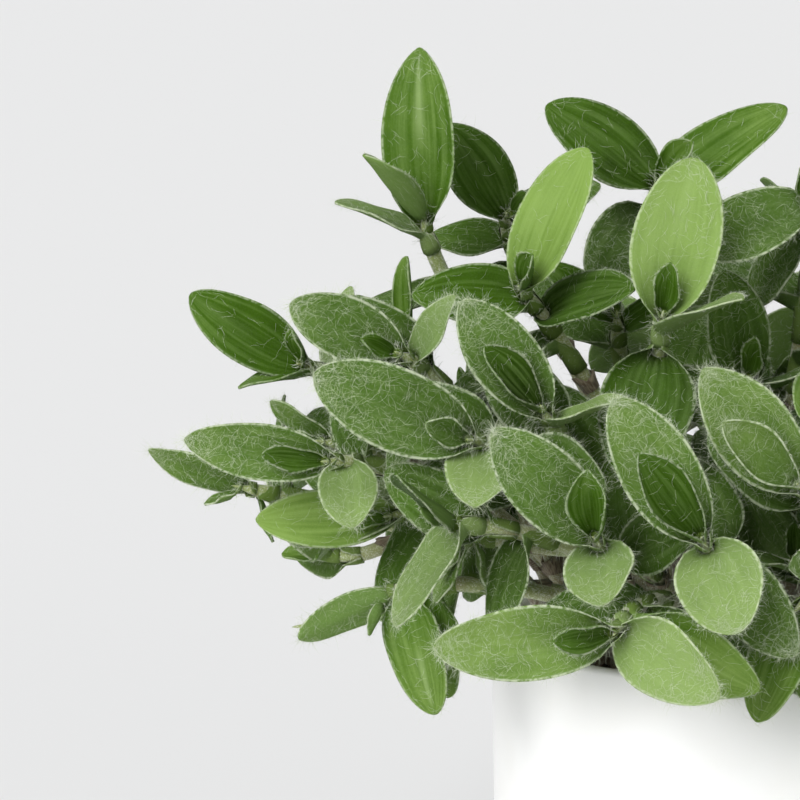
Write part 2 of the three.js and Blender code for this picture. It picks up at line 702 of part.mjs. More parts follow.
// A closed body that is grown face by face: rings of four corners, joined by triangles.
class Skin {
  constructor() {
    this.vertices = [];
    this.triangles = [];
  }

  ring(points) {
    points.forEach((p) => this.vertices.push(p));
    return points.map((_, i) => this.vertices.length - points.length + i);
  }

  // Joins two rings. Both halves of a blade split alike, so that its two faces match.
  join(low, high) {
    for (let k = 0; k < 4; k += 1) {
      const [a, b, c, d] = [low[k], low[(k + 1) % 4], high[(k + 1) % 4], high[k]];
      this.triangles.push(...(k % 2 ? [[a, b, d], [b, c, d]] : [[a, b, c], [a, c, d]]));
    }
  }

  // Joins a square hole to a ring whose corners stand over the middles of its sides.
  twist(hole, ring) {
    for (let k = 0; k < 4; k += 1) {
      const next = (k + 1) % 4;
      this.triangles.push([hole[k], hole[next], ring[k]], [hole[next], ring[next], ring[k]]);
    }
  }

  point(ring, tip) {
    const [end] = this.ring([tip]);
    for (let k = 0; k < 4; k += 1) {
      this.triangles.push([ring[k], ring[(k + 1) % 4], end]);
    }
  }

  cap(ring) {
    this.triangles.push([ring[0], ring[2], ring[1]], [ring[0], ring[3], ring[2]]);
  }

  solid() {
    const geometry = new THREE.BufferGeometry();
    const positions = this.vertices.flat();
    geometry.setAttribute('position', new THREE.Float32BufferAttribute(positions, 3));
    geometry.setIndex(this.triangles.flat());
    return toSolid(geometry);
  }
}

function bladeRing(leaf, t) {
  const half = scale(leaf.face(t), LEAF_THICKNESS / 2);
  return [sub(leaf.point(t, 0), half), leaf.point(t, 1), add(leaf.point(t, 0), half),
    leaf.point(t, -1)];
}

// A leaf grows out of a square hole in the stem's side: its clasping foot, then the blade.
function growBlade(skin, hole, leaf) {
  const stations = leaf.length > 19 ? [0.28, 0.62] : [0.4];
  let last = null;
  stations.forEach((t) => {
    const ring = skin.ring(bladeRing(leaf, t));
    if (last) {
      skin.join(last, ring);
    } else {
      skin.twist(hole, ring);
    }
    last = ring;
  });
  skin.point(last, leaf.midrib(1));
}

// Rings of a stem from its start to its tip: distances back from the tip, and what grows there.
function stemStations(shoot) {
  const grown = shoot.grown.map((leaf) => ({ top: CLASP_TOPS[leaf.order],
    end: CLASP_ENDS[leaf.order], leaf }));
  const forks = shoot.forks.map(({ distance, shoot: side }) => ({ top: distance - FORK_HALF,
    end: distance + FORK_HALF, side }));
  const spans = [...grown, ...forks].sort((a, b) => a.top - b.top);
  const marks = [{ at: 0.2 }];
  const reach = (at, item) => {
    const from = marks[marks.length - 1].at;
    const longest = shoot.path.straightest() > 0.975 ? LONGEST_STEP : BENT_STEP;
    const steps = item ? 1 : Math.ceil((at - from) / longest);
    for (let i = 1; i <= steps; i += 1) {
      marks.push({ at: from + (at - from) * i / steps, item });
    }
  };
  spans.forEach((item) => {
    if (item.top > marks[marks.length - 1].at + 0.01) {
      reach(item.top, null);
    }
    reach(item.end, item);
  });
  reach(shoot.path.length - (shoot.side_of ? 6 : 0), null);
  return marks;
}

const squareRing = ({ at, along, e1 }, reach) => {
  const e2 = cross(along, e1);
  return [45, 135, 225, 315].map((a) => add(at, add(scale(e1, reach * Math.cos(rad(a))),
    scale(e2, reach * Math.sin(rad(a))))));
};

// The side of the square ring that looks most nearly this way.
function sideTowards({ along, e1 }, way) {
  const e2 = cross(along, e1);
  const looks = [dot(way, e1), dot(way, e2), -dot(way, e1), -dot(way, e2)];
  return looks.indexOf(Math.max(...looks));
}

function growStem(skin, shoot, hole) {
  const marks = stemStations(shoot);
  let e1 = shoot.fan;
  const frames = marks.map(({ at: distance }) => {
    const { at, along } = shoot.path.back(distance);
    e1 = unit(sub(e1, scale(along, dot(e1, along))));
    return { at, along, e1 };
  });
  const rings = frames.map((frame) => skin.ring(squareRing(frame, STEM_CORNER)));
  skin.point(rings[0], add(frames[0].at, scale(frames[0].along, 1)));
  marks.slice(1).forEach(({ item }, i) => {
    const [high, low] = [rings[i], rings[i + 1]];
    const way = item && (item.leaf ? item.leaf.out : leavingWay(item.side));
    const open = item ? sideTowards(frames[i + 1], way) : -1;
    for (let k = 0; k < 4; k += 1) {
      const left = (k + 3) % 4;
      const square = [low[left], low[k], high[k], high[left]];
      if (k !== open) {
        skin.triangles.push([square[0], square[1], square[2]], [square[0], square[2], square[3]]);
      } else if (item.leaf) {
        growBlade(skin, square, item.leaf);
      } else {
        growStem(skin, item.side, square);
      }
    }
  });
  const last = rings[rings.length - 1];
  if (hole) {
    skin.join(bestTurn(skin, hole, last), last);
  } else {
    growFoot(skin, last, SITES[shoot.site]);
  }
}

// The way that a side shoot leaves its stem.
const leavingWay = (side) => unit(sub(side.path.points[4], side.path.points[0]));

// The hole's corners, turned so that each lies nearest to its corner of the ring.
function bestTurn(skin, hole, ring) {
  const cost = (turn) => hole.reduce((sum, _, k) => sum
    + away(skin.vertices[hole[(k + turn) % 4]], skin.vertices[ring[k]]), 0);
  const turn = [0, 1, 2, 3].reduce((best, next) => (cost(next) < cost(best) ? next : best), 0);
  return hole.map((_, k) => hole[(k + turn) % 4]);
}

function growFoot(skin, ring, [x, y]) {
  const corners = ring.map((i) => skin.vertices[i]);
  const foot = corners.map((p) => {
    const flat = unit([p[0] - x, p[1] - y, 0]);
    return [x + flat[0] * STEM_CORNER, y + flat[1] * STEM_CORNER];
  });
  const top = skin.ring(foot.map(([a, b]) => [a, b, SOIL_TOP + 0.8]));
  const bottom = skin.ring(foot.map(([a, b]) => [a, b, SOIL_TOP - FOOT_DEPTH]));
  skin.join(top, ring);
  skin.join(bottom, top);
  skin.cap(bottom);
}

function makeLeafyStem(main) {
  const skin = new Skin();
  growStem(skin, main, null);
  return skin.solid();
}

// The object.

const plant = new Plant();
const object = new THREE.Group();
object.name = 'potted_white_velvet_tradescantia';
object.add(toMesh('pot', makePot(), GLAZE));
object.add(toMesh('potting_soil', makeSoil(plant.mains.map((main) => SITES[main.site])), EARTH));
plant.mains.forEach((main, i) => {
  const name = `leafy_stem_${String(i + 1).padStart(2, '0')}`;
  object.add(toMesh(name, makeLeafyStem(main), FOLIAGE));
});

export default object;
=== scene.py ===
"""The looks of a potted white velvet tradescantia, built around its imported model.

The plant is grown here by the same rule as its solids, in millimetres, and is then drawn finely:
boat-shaped leaves with a sheath round the stem, white wool, crumbly soil and a glazed pot.
"""
import logging
import math
from dataclasses import dataclass, field
from enum import Enum
from functools import cached_property
from typing import Any, Optional

import bpy
import numpy as np
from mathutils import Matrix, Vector


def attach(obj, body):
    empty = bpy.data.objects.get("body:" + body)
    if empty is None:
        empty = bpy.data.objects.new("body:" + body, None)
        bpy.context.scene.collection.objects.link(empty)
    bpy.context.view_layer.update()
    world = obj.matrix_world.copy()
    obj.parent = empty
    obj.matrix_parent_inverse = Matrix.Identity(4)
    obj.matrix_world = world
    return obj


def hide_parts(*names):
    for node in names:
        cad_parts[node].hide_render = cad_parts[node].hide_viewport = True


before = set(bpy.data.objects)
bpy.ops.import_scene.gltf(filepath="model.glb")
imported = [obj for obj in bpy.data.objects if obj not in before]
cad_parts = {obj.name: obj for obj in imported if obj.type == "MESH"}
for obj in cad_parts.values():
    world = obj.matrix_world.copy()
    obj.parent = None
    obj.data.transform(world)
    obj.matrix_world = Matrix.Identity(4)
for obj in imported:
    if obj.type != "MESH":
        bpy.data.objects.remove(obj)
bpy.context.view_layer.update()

MM = 0.001
GOLDEN_ANGLE = math.pi * (3 - math.sqrt(5))
VIEW_SLOPE = 0.18  # how much higher in the photograph a point looks for each step further back
Vec = np.ndarray

log = logging.getLogger("tradescantia")


def vec(*values: float) -> Vec:
    """A vector of these numbers."""
    return np.array(values, float)


def unit(v: Vec) -> Vec:
    """The vector or vectors with length one."""
    return v / np.maximum(np.linalg.norm(v, axis=-1, keepdims=True), 1e-12)


def cross(a: Vec, b: Vec) -> Vec:
    """The cross product of two single vectors."""
    return np.array([a[1] * b[2] - a[2] * b[1], a[2] * b[0] - a[0] * b[2], a[0] * b[1] - a[1] * b[0]])


def away(a: Vec, b: Vec) -> float:
    """The distance between two points."""
    return math.sqrt(float(((a - b) ** 2).sum()))


def turned(v: Vec, axis: Vec, angle: float) -> Vec:
    """A vector turned round a unit axis.

    Args:
        v: The vector.
        axis: The axis to turn it round.
        angle: How far, in radians.

    Returns:
        The turned vector.
    """
    c = math.cos(angle)
    return v * c + cross(axis, v) * math.sin(angle) + axis * (float(axis @ v) * (1 - c))


def heading(turn: float, lean: float) -> Vec:
    """A direction as the photograph shows it.

    Args:
        turn: Degrees round the picture from +X.
        lean: Degrees of lean toward the viewer.

    Returns:
        The unit direction.
    """
    flat = math.cos(math.radians(lean))
    a = math.radians(turn)
    return vec(math.cos(a) * flat, -math.sin(math.radians(lean)), math.sin(a) * flat)


def smooth(x: Any) -> Any:
    """A number or array from 0 to 1, eased at both ends."""
    x = np.clip(x, 0.0, 1.0)
    return x * x * (3 - 2 * x)


class Dice:
    """A repeatable stream of numbers, the same one that the solids are grown with."""

    def __init__(self, seed: int) -> None:
        """Starts the stream at a seed."""
        self.state = seed & 0xFFFFFFFF

    def __call__(self, low: float, high: float) -> float:
        """The next number, between low and high."""
        self.state = (self.state + 0x6D2B79F5) & 0xFFFFFFFF
        t = self.state
        t = ((t ^ (t >> 15)) * (t | 1)) & 0xFFFFFFFF
        t ^= (t + (((t ^ (t >> 7)) * (t | 61)) & 0xFFFFFFFF)) & 0xFFFFFFFF
        return low + (high - low) * ((t ^ (t >> 14)) & 0xFFFFFFFF) / 4294967296


@dataclass(frozen=True)
class LookSizes:
    """How one kind of leaf looks: shares from 0 to 1, and how densely its wool grows."""

    wool: float  # squiggly white hairs pressed to the blade
    stripe_and_sheen: float  # a pale silvery band along the middle of the outer half, partly a painted sheen
    felt: float  # short dense grey-green down
    hairs: float  # on a square centimetre
    fringe: float  # hairs on a millimetre of margin


class LeafLook(Enum):
    """The kinds of leaf on the plant."""

    VELVET = LookSizes(0.62, 0.0, 0.2, 105, 8.5)
    CUP = LookSizes(0.1, 0.0, 0.0, 14, 8.0)
    FELT = LookSizes(0.5, 0.0, 0.75, 90, 8.5)
    SMOOTH = LookSizes(0.12, 0.1, 0.0, 12, 5.5)
    RAYED = LookSizes(0.16, 0.8, 0.03, 18, 6.0)
    DARK = LookSizes(0.35, 0.0, 0.1, 40, 5.5)
    PALE = LookSizes(0.3, 0.35, 0.3, 34, 7.5)


LOOK_LETTERS = {"V": LeafLook.VELVET, "C": LeafLook.CUP, "F": LeafLook.FELT, "S": LeafLook.SMOOTH,
                "R": LeafLook.RAYED, "D": LeafLook.DARK, "P": LeafLook.PALE}


@dataclass(frozen=True)
class ShootRow:
    """A shoot that the photograph shows, in the same words as the part's own table.

    A leaf is (length, turn, lean, width over length) and, for a blade that twists, the turn and
    lean of the axis that it faces. looks has a letter for each leaf's kind and a digit from dark to
    light, youngest first, with the older ones at the end.
    """

    name: str
    head: tuple[float, float, float]
    aim: tuple[float, float]
    older: int
    leaves: tuple[tuple[float, ...], ...]
    looks: str
    side_of: str = ""


PHOTO_SHOOTS = (
    ShootRow("R", (-38, -118, 139.5), (215, 76), 3, ((16, 180, 34, 0.5), (43, 187, 0, 0.43),
             (29, 326, 22, 0.66), (36, 331, 2, 0.52)), "C3 V7 F9 S7 D3"),
    ShootRow("K", (-42, -95, 159), (114, 56), 3, ((20, 98, 30, 0.62), (37, 131, 2, 0.5),
             (18, 268, 50, 1.0), (24, 320, 6, 0.66)), "C4 V4 F7 V5 D3"),
    ShootRow("L", (-16, -105, 161), (112, 56), 3, ((28, 124, 20, 0.52), (40, 129, -4, 0.47),
             (24, 293, 34, 0.9), (31, 309, 12, 0.56)), "C3 V5 F8 V4 D3 D3"),
    ShootRow("J", (-73, -76, 180), (160, 50), 3, ((13, 155, 34, 0.6), (43, 156, 3, 0.49),
             (19, 258, 50, 0.95, 104, 50)), "V4 V4 F8 D3 D3"),
    ShootRow("I", (-54, -62, 186), (114, 36), 3, ((22, 130, 16, 0.52), (35, 126, -3, 0.5),
             (27, 30, 44, 0.5, 100, 8)), "C2 V4 F8 D3 D3"),
    ShootRow("H", (9, -88, 171), (116, 52), 3, ((27, 138, 22, 0.52), (38, 131, 0, 0.52),
             (32, 330, 25, 0.6)), "V6 V6 V5 D3 D3"),
    ShootRow("M", (-80, -84, 160), (170, 56), 3, ((10, 150, 40, 0.5), (22, 139, 26, 0.78),
             (30, 232, 16, 0.62)), "C2 C2 F6 D3 D3"),
    ShootRow("U", (8, -92, 139), (260, 60), 3, ((12, 235, 40, 0.5), (30, 250, 2, 0.52),
             (28, 275, 14, 0.62)), "C4 S6 P7 D3"),
    ShootRow("A", (-84, -10, 229), (98, 25), 2, ((28, 126, 34, 0.45), (46, 92, -4, 0.45),
             (25, 157, 4, 0.5, 92, 10)), "P6 R5 F5 V4 D3"),
    ShootRow("A5", (-89, -14, 195), (104, 20), 0, ((23, 92, 5, 0.36), (20, 128, 6, 0.42),
             (14, 150, -20, 0.5)), "S5 S5 S4"),
    # Partly a painted highlight: B's second leaf gets the lightest digit, 9, for the sheen on it.
    ShootRow("B", (-59, -35, 213), (112, 62), 2, ((13, 84, 46, 0.68), (40, 68, 6, 0.48),
             (30, 176, 14, 0.58, 100, 58)), "C4 S9 S4 S3 D3"),
    ShootRow("C", (-61, 12, 226), (85, 55), 2, ((9, 60, 40, 0.5), (29, 121, 0, 0.6),
             (26, 25, -5, 0.5), (22, 178, -12, 0.6)), "C3 S3 D4 D4 D3"),
    ShootRow("D", (-22, -15, 238), (92, 60), 1, ((16, 60, 36, 0.6), (35, 143, 2, 0.56),
             (40, 35, -4, 0.42), (25, 228, 18, 0.85)), "C5 S3 S5 V3 D3"),
    ShootRow("E", (-23, -60, 210), (84, 42), 2, ((14, 86, 26, 0.52), (41, 80, -4, 0.54),
             (30, 34, 44, 0.5, 95, 10), (34, 258, 20, 0.72)), "C4 P9 F7 R3 D3"),
    ShootRow("F", (16, -40, 236), (105, 55), 3, ((14, 100, 40, 0.55), (32, 200, 12, 0.6),
             (34, 40, 5, 0.5), (24, 235, -15, 0.6)), "C4 V4 V4 V4 D3"),
    ShootRow("G", (1, -35, 189), (88, 48), 3, ((12, 85, 30, 0.5), (30, 103, 0, 0.56),
             (26, 25, 30, 0.5, 90, 5)), "C4 D4 V4 D3"),
    ShootRow("N", (-110, -48, 169), (172, 44), 3, ((16, 172, 18, 0.42), (38, 173, -4, 0.38),
             (18, 276, 40, 0.85, 98, 42)), "C3 V5 F7 D3 D3"),
    ShootRow("X", (-94, -36, 152), (184, 34), 2, ((10, 186, 22, 0.4), (36, 182, 3, 0.42),
             (30, 197, -8, 0.42, 105, 40)), "S5 S8 F6 D4"),
    ShootRow("Y", (-134, -20, 157), (165, 10), 1, ((9, 200, 0, 0.4), (28, 160, -2, 0.36),
             (12, 285, 5, 0.4)), "V5 V5 S5 D4"),
    ShootRow("Z", (-112, -24, 170), (165, 25), 1, ((8, 165, 20, 0.4), (18, 146, 2, 0.45),
             (13, 178, 24, 0.6)), "V5 V5 F6 D4"),
    ShootRow("O", (-117, -20, 190), (150, 50), 2, ((11, 110, 34, 0.55), (35, 148, 2, 0.47),
             (21, 192, 22, 0.55, 120, 10), (23, 78, -10, 0.55)), "C4 S4 S5 F7 V4 D3"),
    ShootRow("P", (-91, -50, 198), (145, 50), 3, ((11, 150, 35, 0.5), (31, 154, 4, 0.52),
             (20, 60, 15, 0.5)), "C4 V4 F6 D3 D3"),
    ShootRow("Q", (-96, -52, 133), (236, 60), 2, ((10, 245, 40, 0.4), (26, 206, 0, 0.4),
             (32, 285, 8, 0.5, 200, 68), (31, 278, -12, 0.46, 200, 60)), "V5 V5 R6 S5 D4"),
    ShootRow("V", (-32, -8, 202), (98, 34), 3, ((17, 102, 2, 0.45), (23, 138, 8, 0.5),
             (20, 30, 0, 0.5)), "S5 S4 S4 D3"),
    ShootRow("B5", (-76, -62, 149), (230, 45), 0, ((9, 230, 30, 0.5), (16, 246, 5, 0.6),
             (12, 280, 25, 0.6)), "V6 V6 V6", "M"),
)


@dataclass(frozen=True)
class PlantRule:
    """The sizes that the plant grows by, in millimetres, as in the part's own source."""

    pot_height: float = 115.0
    rim_radius: float = 65.0
    foot_radius: float = 62.8
    pot_wall: float = 4.0
    soil_drop: float = 14.0
    stem_radius: float = 2.1
    foot_rise: float = 4.5
    site_count: int = 68
    site_reach: float = 53.0
    leaf_reach: float = 2.4
    stem_reach: float = 2.7
    head_reach: float = 5.0
    own_leaf_reach: float = 3.2
    own_leaf_reach_inside: float = 4.2
    own_stem_reach: float = 3.6
    lowest_leaf: float = 24.0
    neighbourhood: float = 400.0
    dome_count: int = 72
    main_stems: int = 56
    spur_count: int = 22
    main_spacing: float = 30.0
    side_spacing: float = 25.0
    spur_spacing: float = 26.0
    pot_margin: float = 14.0
    crown_rise: float = 14.0
    dome_depth: float = 1.16
    dome_right: float = 128.0
    dome_left: float = 118.0
    dome_back: float = 112.0
    dome_top: float = 106.0
    dome_below: float = 60.0
    lowest_side_head: float = 16.0
    spur_core: float = 128.0
    spur_swing: float = 16.0
    spur_rise: float = 3.0
    lowest_spur: float = 132.0
    root_share: float = 0.36
    tip_arch: float = 8.0
    photo_arch: float = 25.0
    plain_arch: float = 26.0
    older_arch: float = 30.0
    older_opening: float = 74.0
    older_opening_step: float = 5.0
    older_ratio: float = 0.55
    least_opening: float = 0.05
    leaf_neighbourhood: float = 20.0
    node_reach: float = 7.0
    forks_apart: float = 7.0
    fork_from_tip: float = 26.0
    sites_tried: int = 16
    fork_half: float = 2.4
    fork_clear: float = 9.0
    fork_own_clear: float = 7.0
    fork_own_gap: float = 4.9
    fork_others_clear: float = 11.0
    nodes_from_tip: tuple[float, ...] = (1, 3.5, 8, 16, 27, 40, 54)
    clasp_tops: tuple[float, ...] = (0.2, 2.4, 6.5, 14.5, 25, 38, 52)
    clasp_ends: tuple[float, ...] = (2.4, 6.5, 12, 20, 31, 44, 58)
    main_rises: tuple[float, ...] = (0.42, 0.55, 0.3)
    main_bows: tuple[float, ...] = (0, 14, -14, 28, -28, 42, -42)
    fork_shares: tuple[float, ...] = (0.4, 0.5, 0.3, 0.6, 0.45, 0.35)
    side_rises: tuple[float, ...] = (0.3, 0.2, 0.45)
    side_bows: tuple[float, ...] = (0, 10, -10)
    plain_leaves: tuple[tuple[float, float, float], ...] = (
        (13, 18, 0.5), (30, 32, 0.56), (36, 58, 0.55), (35, 76, 0.55))

    @property
    def soil_top(self) -> float:
        """Height of the soil."""
        return self.pot_height - self.soil_drop

    @property
    def crown(self) -> Vec:
        """Centre of the dome of leaves."""
        return vec(0, 0, self.pot_height + self.crown_rise)

    def site(self, i: int) -> tuple[float, float]:
        """Where a stem may stand on the soil, on a sunflower spiral."""
        r = self.site_reach * math.sqrt((i + 0.5) / self.site_count)
        return r * math.cos(i * GOLDEN_ANGLE), r * math.sin(i * GOLDEN_ANGLE)

    def wall_radius(self, z: float) -> float:
        """The pot's outer radius at a height."""
        return self.foot_radius + (self.rim_radius - self.foot_radius) * z / self.pot_height


RULE = PlantRule()
PATH_STEPS = 24

SMALL_MOVES = [(swing, tilt, k) for k in (1, 0.93, 0.86) for swing, tilt in (
    (0, 0), (0, 5), (0, -5), (7, 0), (-7, 0), (0, 9), (0, -9), (9, 6), (-9, -6), (9, -6), (-9, 6),
    (0, 14), (0, -14), (14, 0), (-14, 0), (16, 10), (16, -10), (-16, 10), (-16, -10))]
LARGE_MOVES = [(swing, tilt, k) for k in (1, 0.85, 0.7, 0.55) for tilt in (0, -14, 14, -28, 26)
               for swing in (0, 20, -20, 40, -40, 60, -60)]


class Space:
    """What the plant already fills, as balls that each belong to a shoot."""

    def __init__(self) -> None:
        """Starts empty."""
        self.at = np.zeros((0, 3))
        self.reach = np.zeros(0)
        self.owner = np.zeros(0, int)

    def take(self, points: Vec, reach: float, owner: int) -> None:
        """Adds a ball of this reach round each point."""
        self.at = np.vstack([self.at, points])
        self.reach = np.append(self.reach, np.full(len(points), reach))
        self.owner = np.append(self.owner, np.full(len(points), owner))

    def keep(self, chosen: Vec) -> None:
        """Keeps only the chosen balls."""
        self.at, self.reach, self.owner = self.at[chosen], self.reach[chosen], self.owner[chosen]

    def near(self, centre: Vec, reach: float, owner: int) -> "Space":
        """The balls of other shoots within reach of a point."""
        found = Space()
        close = np.sqrt(((self.at - centre) ** 2).sum(1)) < reach
        chosen = close & (self.owner != owner)
        found.at, found.reach, found.owner = self.at[chosen], self.reach[chosen], self.owner[chosen]
        return found

    def gap(self, points: Vec, reach: float) -> float:
        """The smallest gap between these balls and balls of this reach round the points."""
        if not len(self.at) or not len(points):
            return math.inf
        apart = np.sqrt(((points[:, None] - self.at[None]) ** 2).sum(2))
        return float((apart - self.reach[None]).min()) - reach


class Path:
    """The line of a stem from its root to its growing point."""

    painted_shade_to_foot = 0.32
    tip_bow = 0.5
    least_smooth = 0.9

    def __init__(self, root: Vec, head: Vec, aim: Vec, rise: float, up: Vec, bow: float) -> None:
        """Bends a curve between two ends.

        Args:
            root: Where the stem starts.
            head: Its growing point.
            aim: The way that it grows there.
            rise: How long it goes on as it starts, as a share of its span.
            up: The way that it starts.
            bow: How far it bows to the side.
        """
        reach = away(head, root)
        flat = head - root
        side = unit(vec(-flat[1], flat[0], 1e-6))
        corners = (root, root + up * (rise * reach) + side * bow,
                   head - aim * (self.painted_shade_to_foot * reach) + side * (bow * self.tip_bow), head)
        t = (np.arange(PATH_STEPS + 1) / PATH_STEPS)[:, None]
        u = 1 - t
        self.points = (corners[0] * u ** 3 + corners[1] * (3 * u * u * t)
                       + corners[2] * (3 * u * t * t) + corners[3] * t ** 3)
        steps = np.linalg.norm(np.diff(self.points, axis=0), axis=1)
        self.arc = np.concatenate([[0.0], np.cumsum(steps)])
        self.length = float(self.arc[-1])
        ways = unit(np.diff(self.points, axis=0))
        self.smooth = float((ways[1:] * ways[:-1]).sum(1).min()) > self.least_smooth

    def back(self, distance: float) -> tuple[Vec, Vec]:
        """The point and the direction at a distance back from the tip."""
        s = max(0.0, self.length - distance)
        i = 0
        while i < PATH_STEPS - 1 and self.arc[i + 1] <= s:
            i += 1
        part = (s - self.arc[i]) / (self.arc[i + 1] - self.arc[i])
        at = self.points[i] + (self.points[i + 1] - self.points[i]) * part
        ahead = self.points[min(PATH_STEPS, i + 2)]
        return at, unit(ahead - self.points[max(0, i - 1)])


class Leaf:
    """A leaf's form: an arched midrib and a boat-shaped blade, hollow toward the stem."""

    widest = 0.46
    base_share = 0.5
    blunt = 0.8
    open_cup = 16
    foot_cup = 60
    foot_cup_share = 0.16

    def __init__(self, node: Vec, axis: Vec, toward: Vec, length: float, ratio: float,
                 arch: float) -> None:
        """Places a leaf.

        Args:
            node: The point of the stem that it grows from.
            axis: The direction that its hollow side faces.
            toward: The direction in which it reaches out.
            length: Its length.
            ratio: Its width over its length.
            arch: How far its midrib bends, in degrees.
        """
        d = unit(toward)
        c = float(np.clip(d @ axis, -1, 1))
        self.node = node
        self.axis = axis
        self.length = length
        self.width = ratio * length
        self.out = unit(d - axis * c)
        self.side = cross(axis, self.out)
        self.bend = math.radians(arch)
        self.start = math.acos(c) - self.bend / 2
        self.order = 0
        self.look = LeafLook.DARK
        self.light = 0.3

    def share(self, t: Vec) -> Vec:
        """The blade's width at t along it, as a share of its widest."""
        low = 1 - (1 - self.base_share) * (np.maximum(self.widest - t, 0) / self.widest) ** 2
        x = np.clip((t - self.widest) / (1 - self.widest), 0, 1)
        return np.where(t < self.widest, low, (1 - x * x) ** self.blunt)

    def cup(self, t: Vec) -> Vec:
        """Half of the angle that the blade's section curls through."""
        return np.radians(self.open_cup + self.foot_cup * np.exp(-t / self.foot_cup_share))

    def midrib(self, t: Vec) -> Vec:
        """Points of the midrib at each t."""
        to = self.start + self.bend * np.asarray(t)[..., None]
        rise = self.axis * (np.sin(to) - math.sin(self.start))
        reach = self.out * (math.cos(self.start) - np.cos(to))
        return self.node + self.out * RULE.stem_radius + (rise + reach) * (self.length / self.bend)

    def face(self, t: Vec) -> Vec:
        """The way that the hollow upper face looks at each t."""
        f = self.start + self.bend * np.asarray(t)[..., None]
        return self.axis * np.sin(f) - self.out * np.cos(f)

    def samples(self) -> Vec:
        """Points spread over the blade, four to a row."""
        t = np.repeat(vec(0.15, 0.27, 0.39, 0.51, 0.63, 0.75, 0.87, 0.97), 4)
        v = np.tile(vec(-0.85, -0.3, 0.3, 0.85), 8)
        cup = self.cup(t)
        swing = self.width / 2 * self.share(t) / cup
        across = self.side * (swing * np.sin(v * cup))[:, None]
        return self.midrib(t) + across + self.face(t) * (swing * (1 - np.cos(v * cup)))[:, None]


@dataclass
class Shoot:
    """One shoot: its growing point, its path and its leaves."""

    name: str
    head: Vec
    aim: Vec
    older: int
    row: Optional[ShootRow] = None
    plain: int = 0
    small: bool = False
    side_of: str = ""
    owner: int = 0
    site: int = -1
    path: Optional[Path] = None
    fan: Vec = field(default_factory=lambda: vec(1, 0, 0))
    forks: list[tuple[float, "Shoot"]] = field(default_factory=list)
    grown: list[Leaf] = field(default_factory=list)
    own: list[Vec] = field(default_factory=list)

    @property
    def seen(self) -> bool:
        """Whether the photograph shows it."""
        return self.row is not None


# The photograph shows only background left of each row's first number, where a point looks lower
# than the second or higher than the third.
BACKGROUND = ((-97, 127, 207), (-128, 150, math.inf), (-72, 96, math.inf), (-12, -math.inf, 213))


def seen_height(points: Vec) -> Any:
    """How high a point, or each of several, looks in the photograph."""
    return points[..., 2] + VIEW_SLOPE * points[..., 1]


def photographed(p: Vec) -> bool:
    """Whether a growing point lies where the photograph shows the plant or the background."""
    if p[0] < 18 and p[1] < -5:
        return True
    seen = seen_height(p)
    return seen > 177 if p[0] < -12 else p[0] < 26 and seen > 213


def leaf_clears_pot(points: Vec) -> bool:
    """Whether a leaf's points all stay over the floor and clear of the pot."""
    radius = np.hypot(points[:, 0], points[:, 1])
    margin = RULE.leaf_reach + 1
    inside = (points[:, 2] < RULE.pot_height + margin) & (radius < RULE.rim_radius + margin)
    return bool(((points[:, 2] > RULE.lowest_leaf) & ~inside).all())


def over_background(points: Vec) -> bool:
    """Whether one of a leaf's points lies where the photograph shows only background."""
    x, seen = points[:, 0], seen_height(points)
    return any(bool(((x < left) & ((seen < low) | (seen > high))).any())
               for left, low, high in BACKGROUND)


def stem_clears_pot(points: Vec) -> bool:
    """Whether a stem's points all stay clear of the pot's wall."""
    radius = np.hypot(points[:, 0], points[:, 1])
    low = points[:, 2] < RULE.pot_height + RULE.stem_reach + 1
    outer = radius > RULE.rim_radius - RULE.pot_wall - RULE.stem_reach
    return not bool((low & outer & (radius < RULE.rim_radius + RULE.stem_reach)).any())


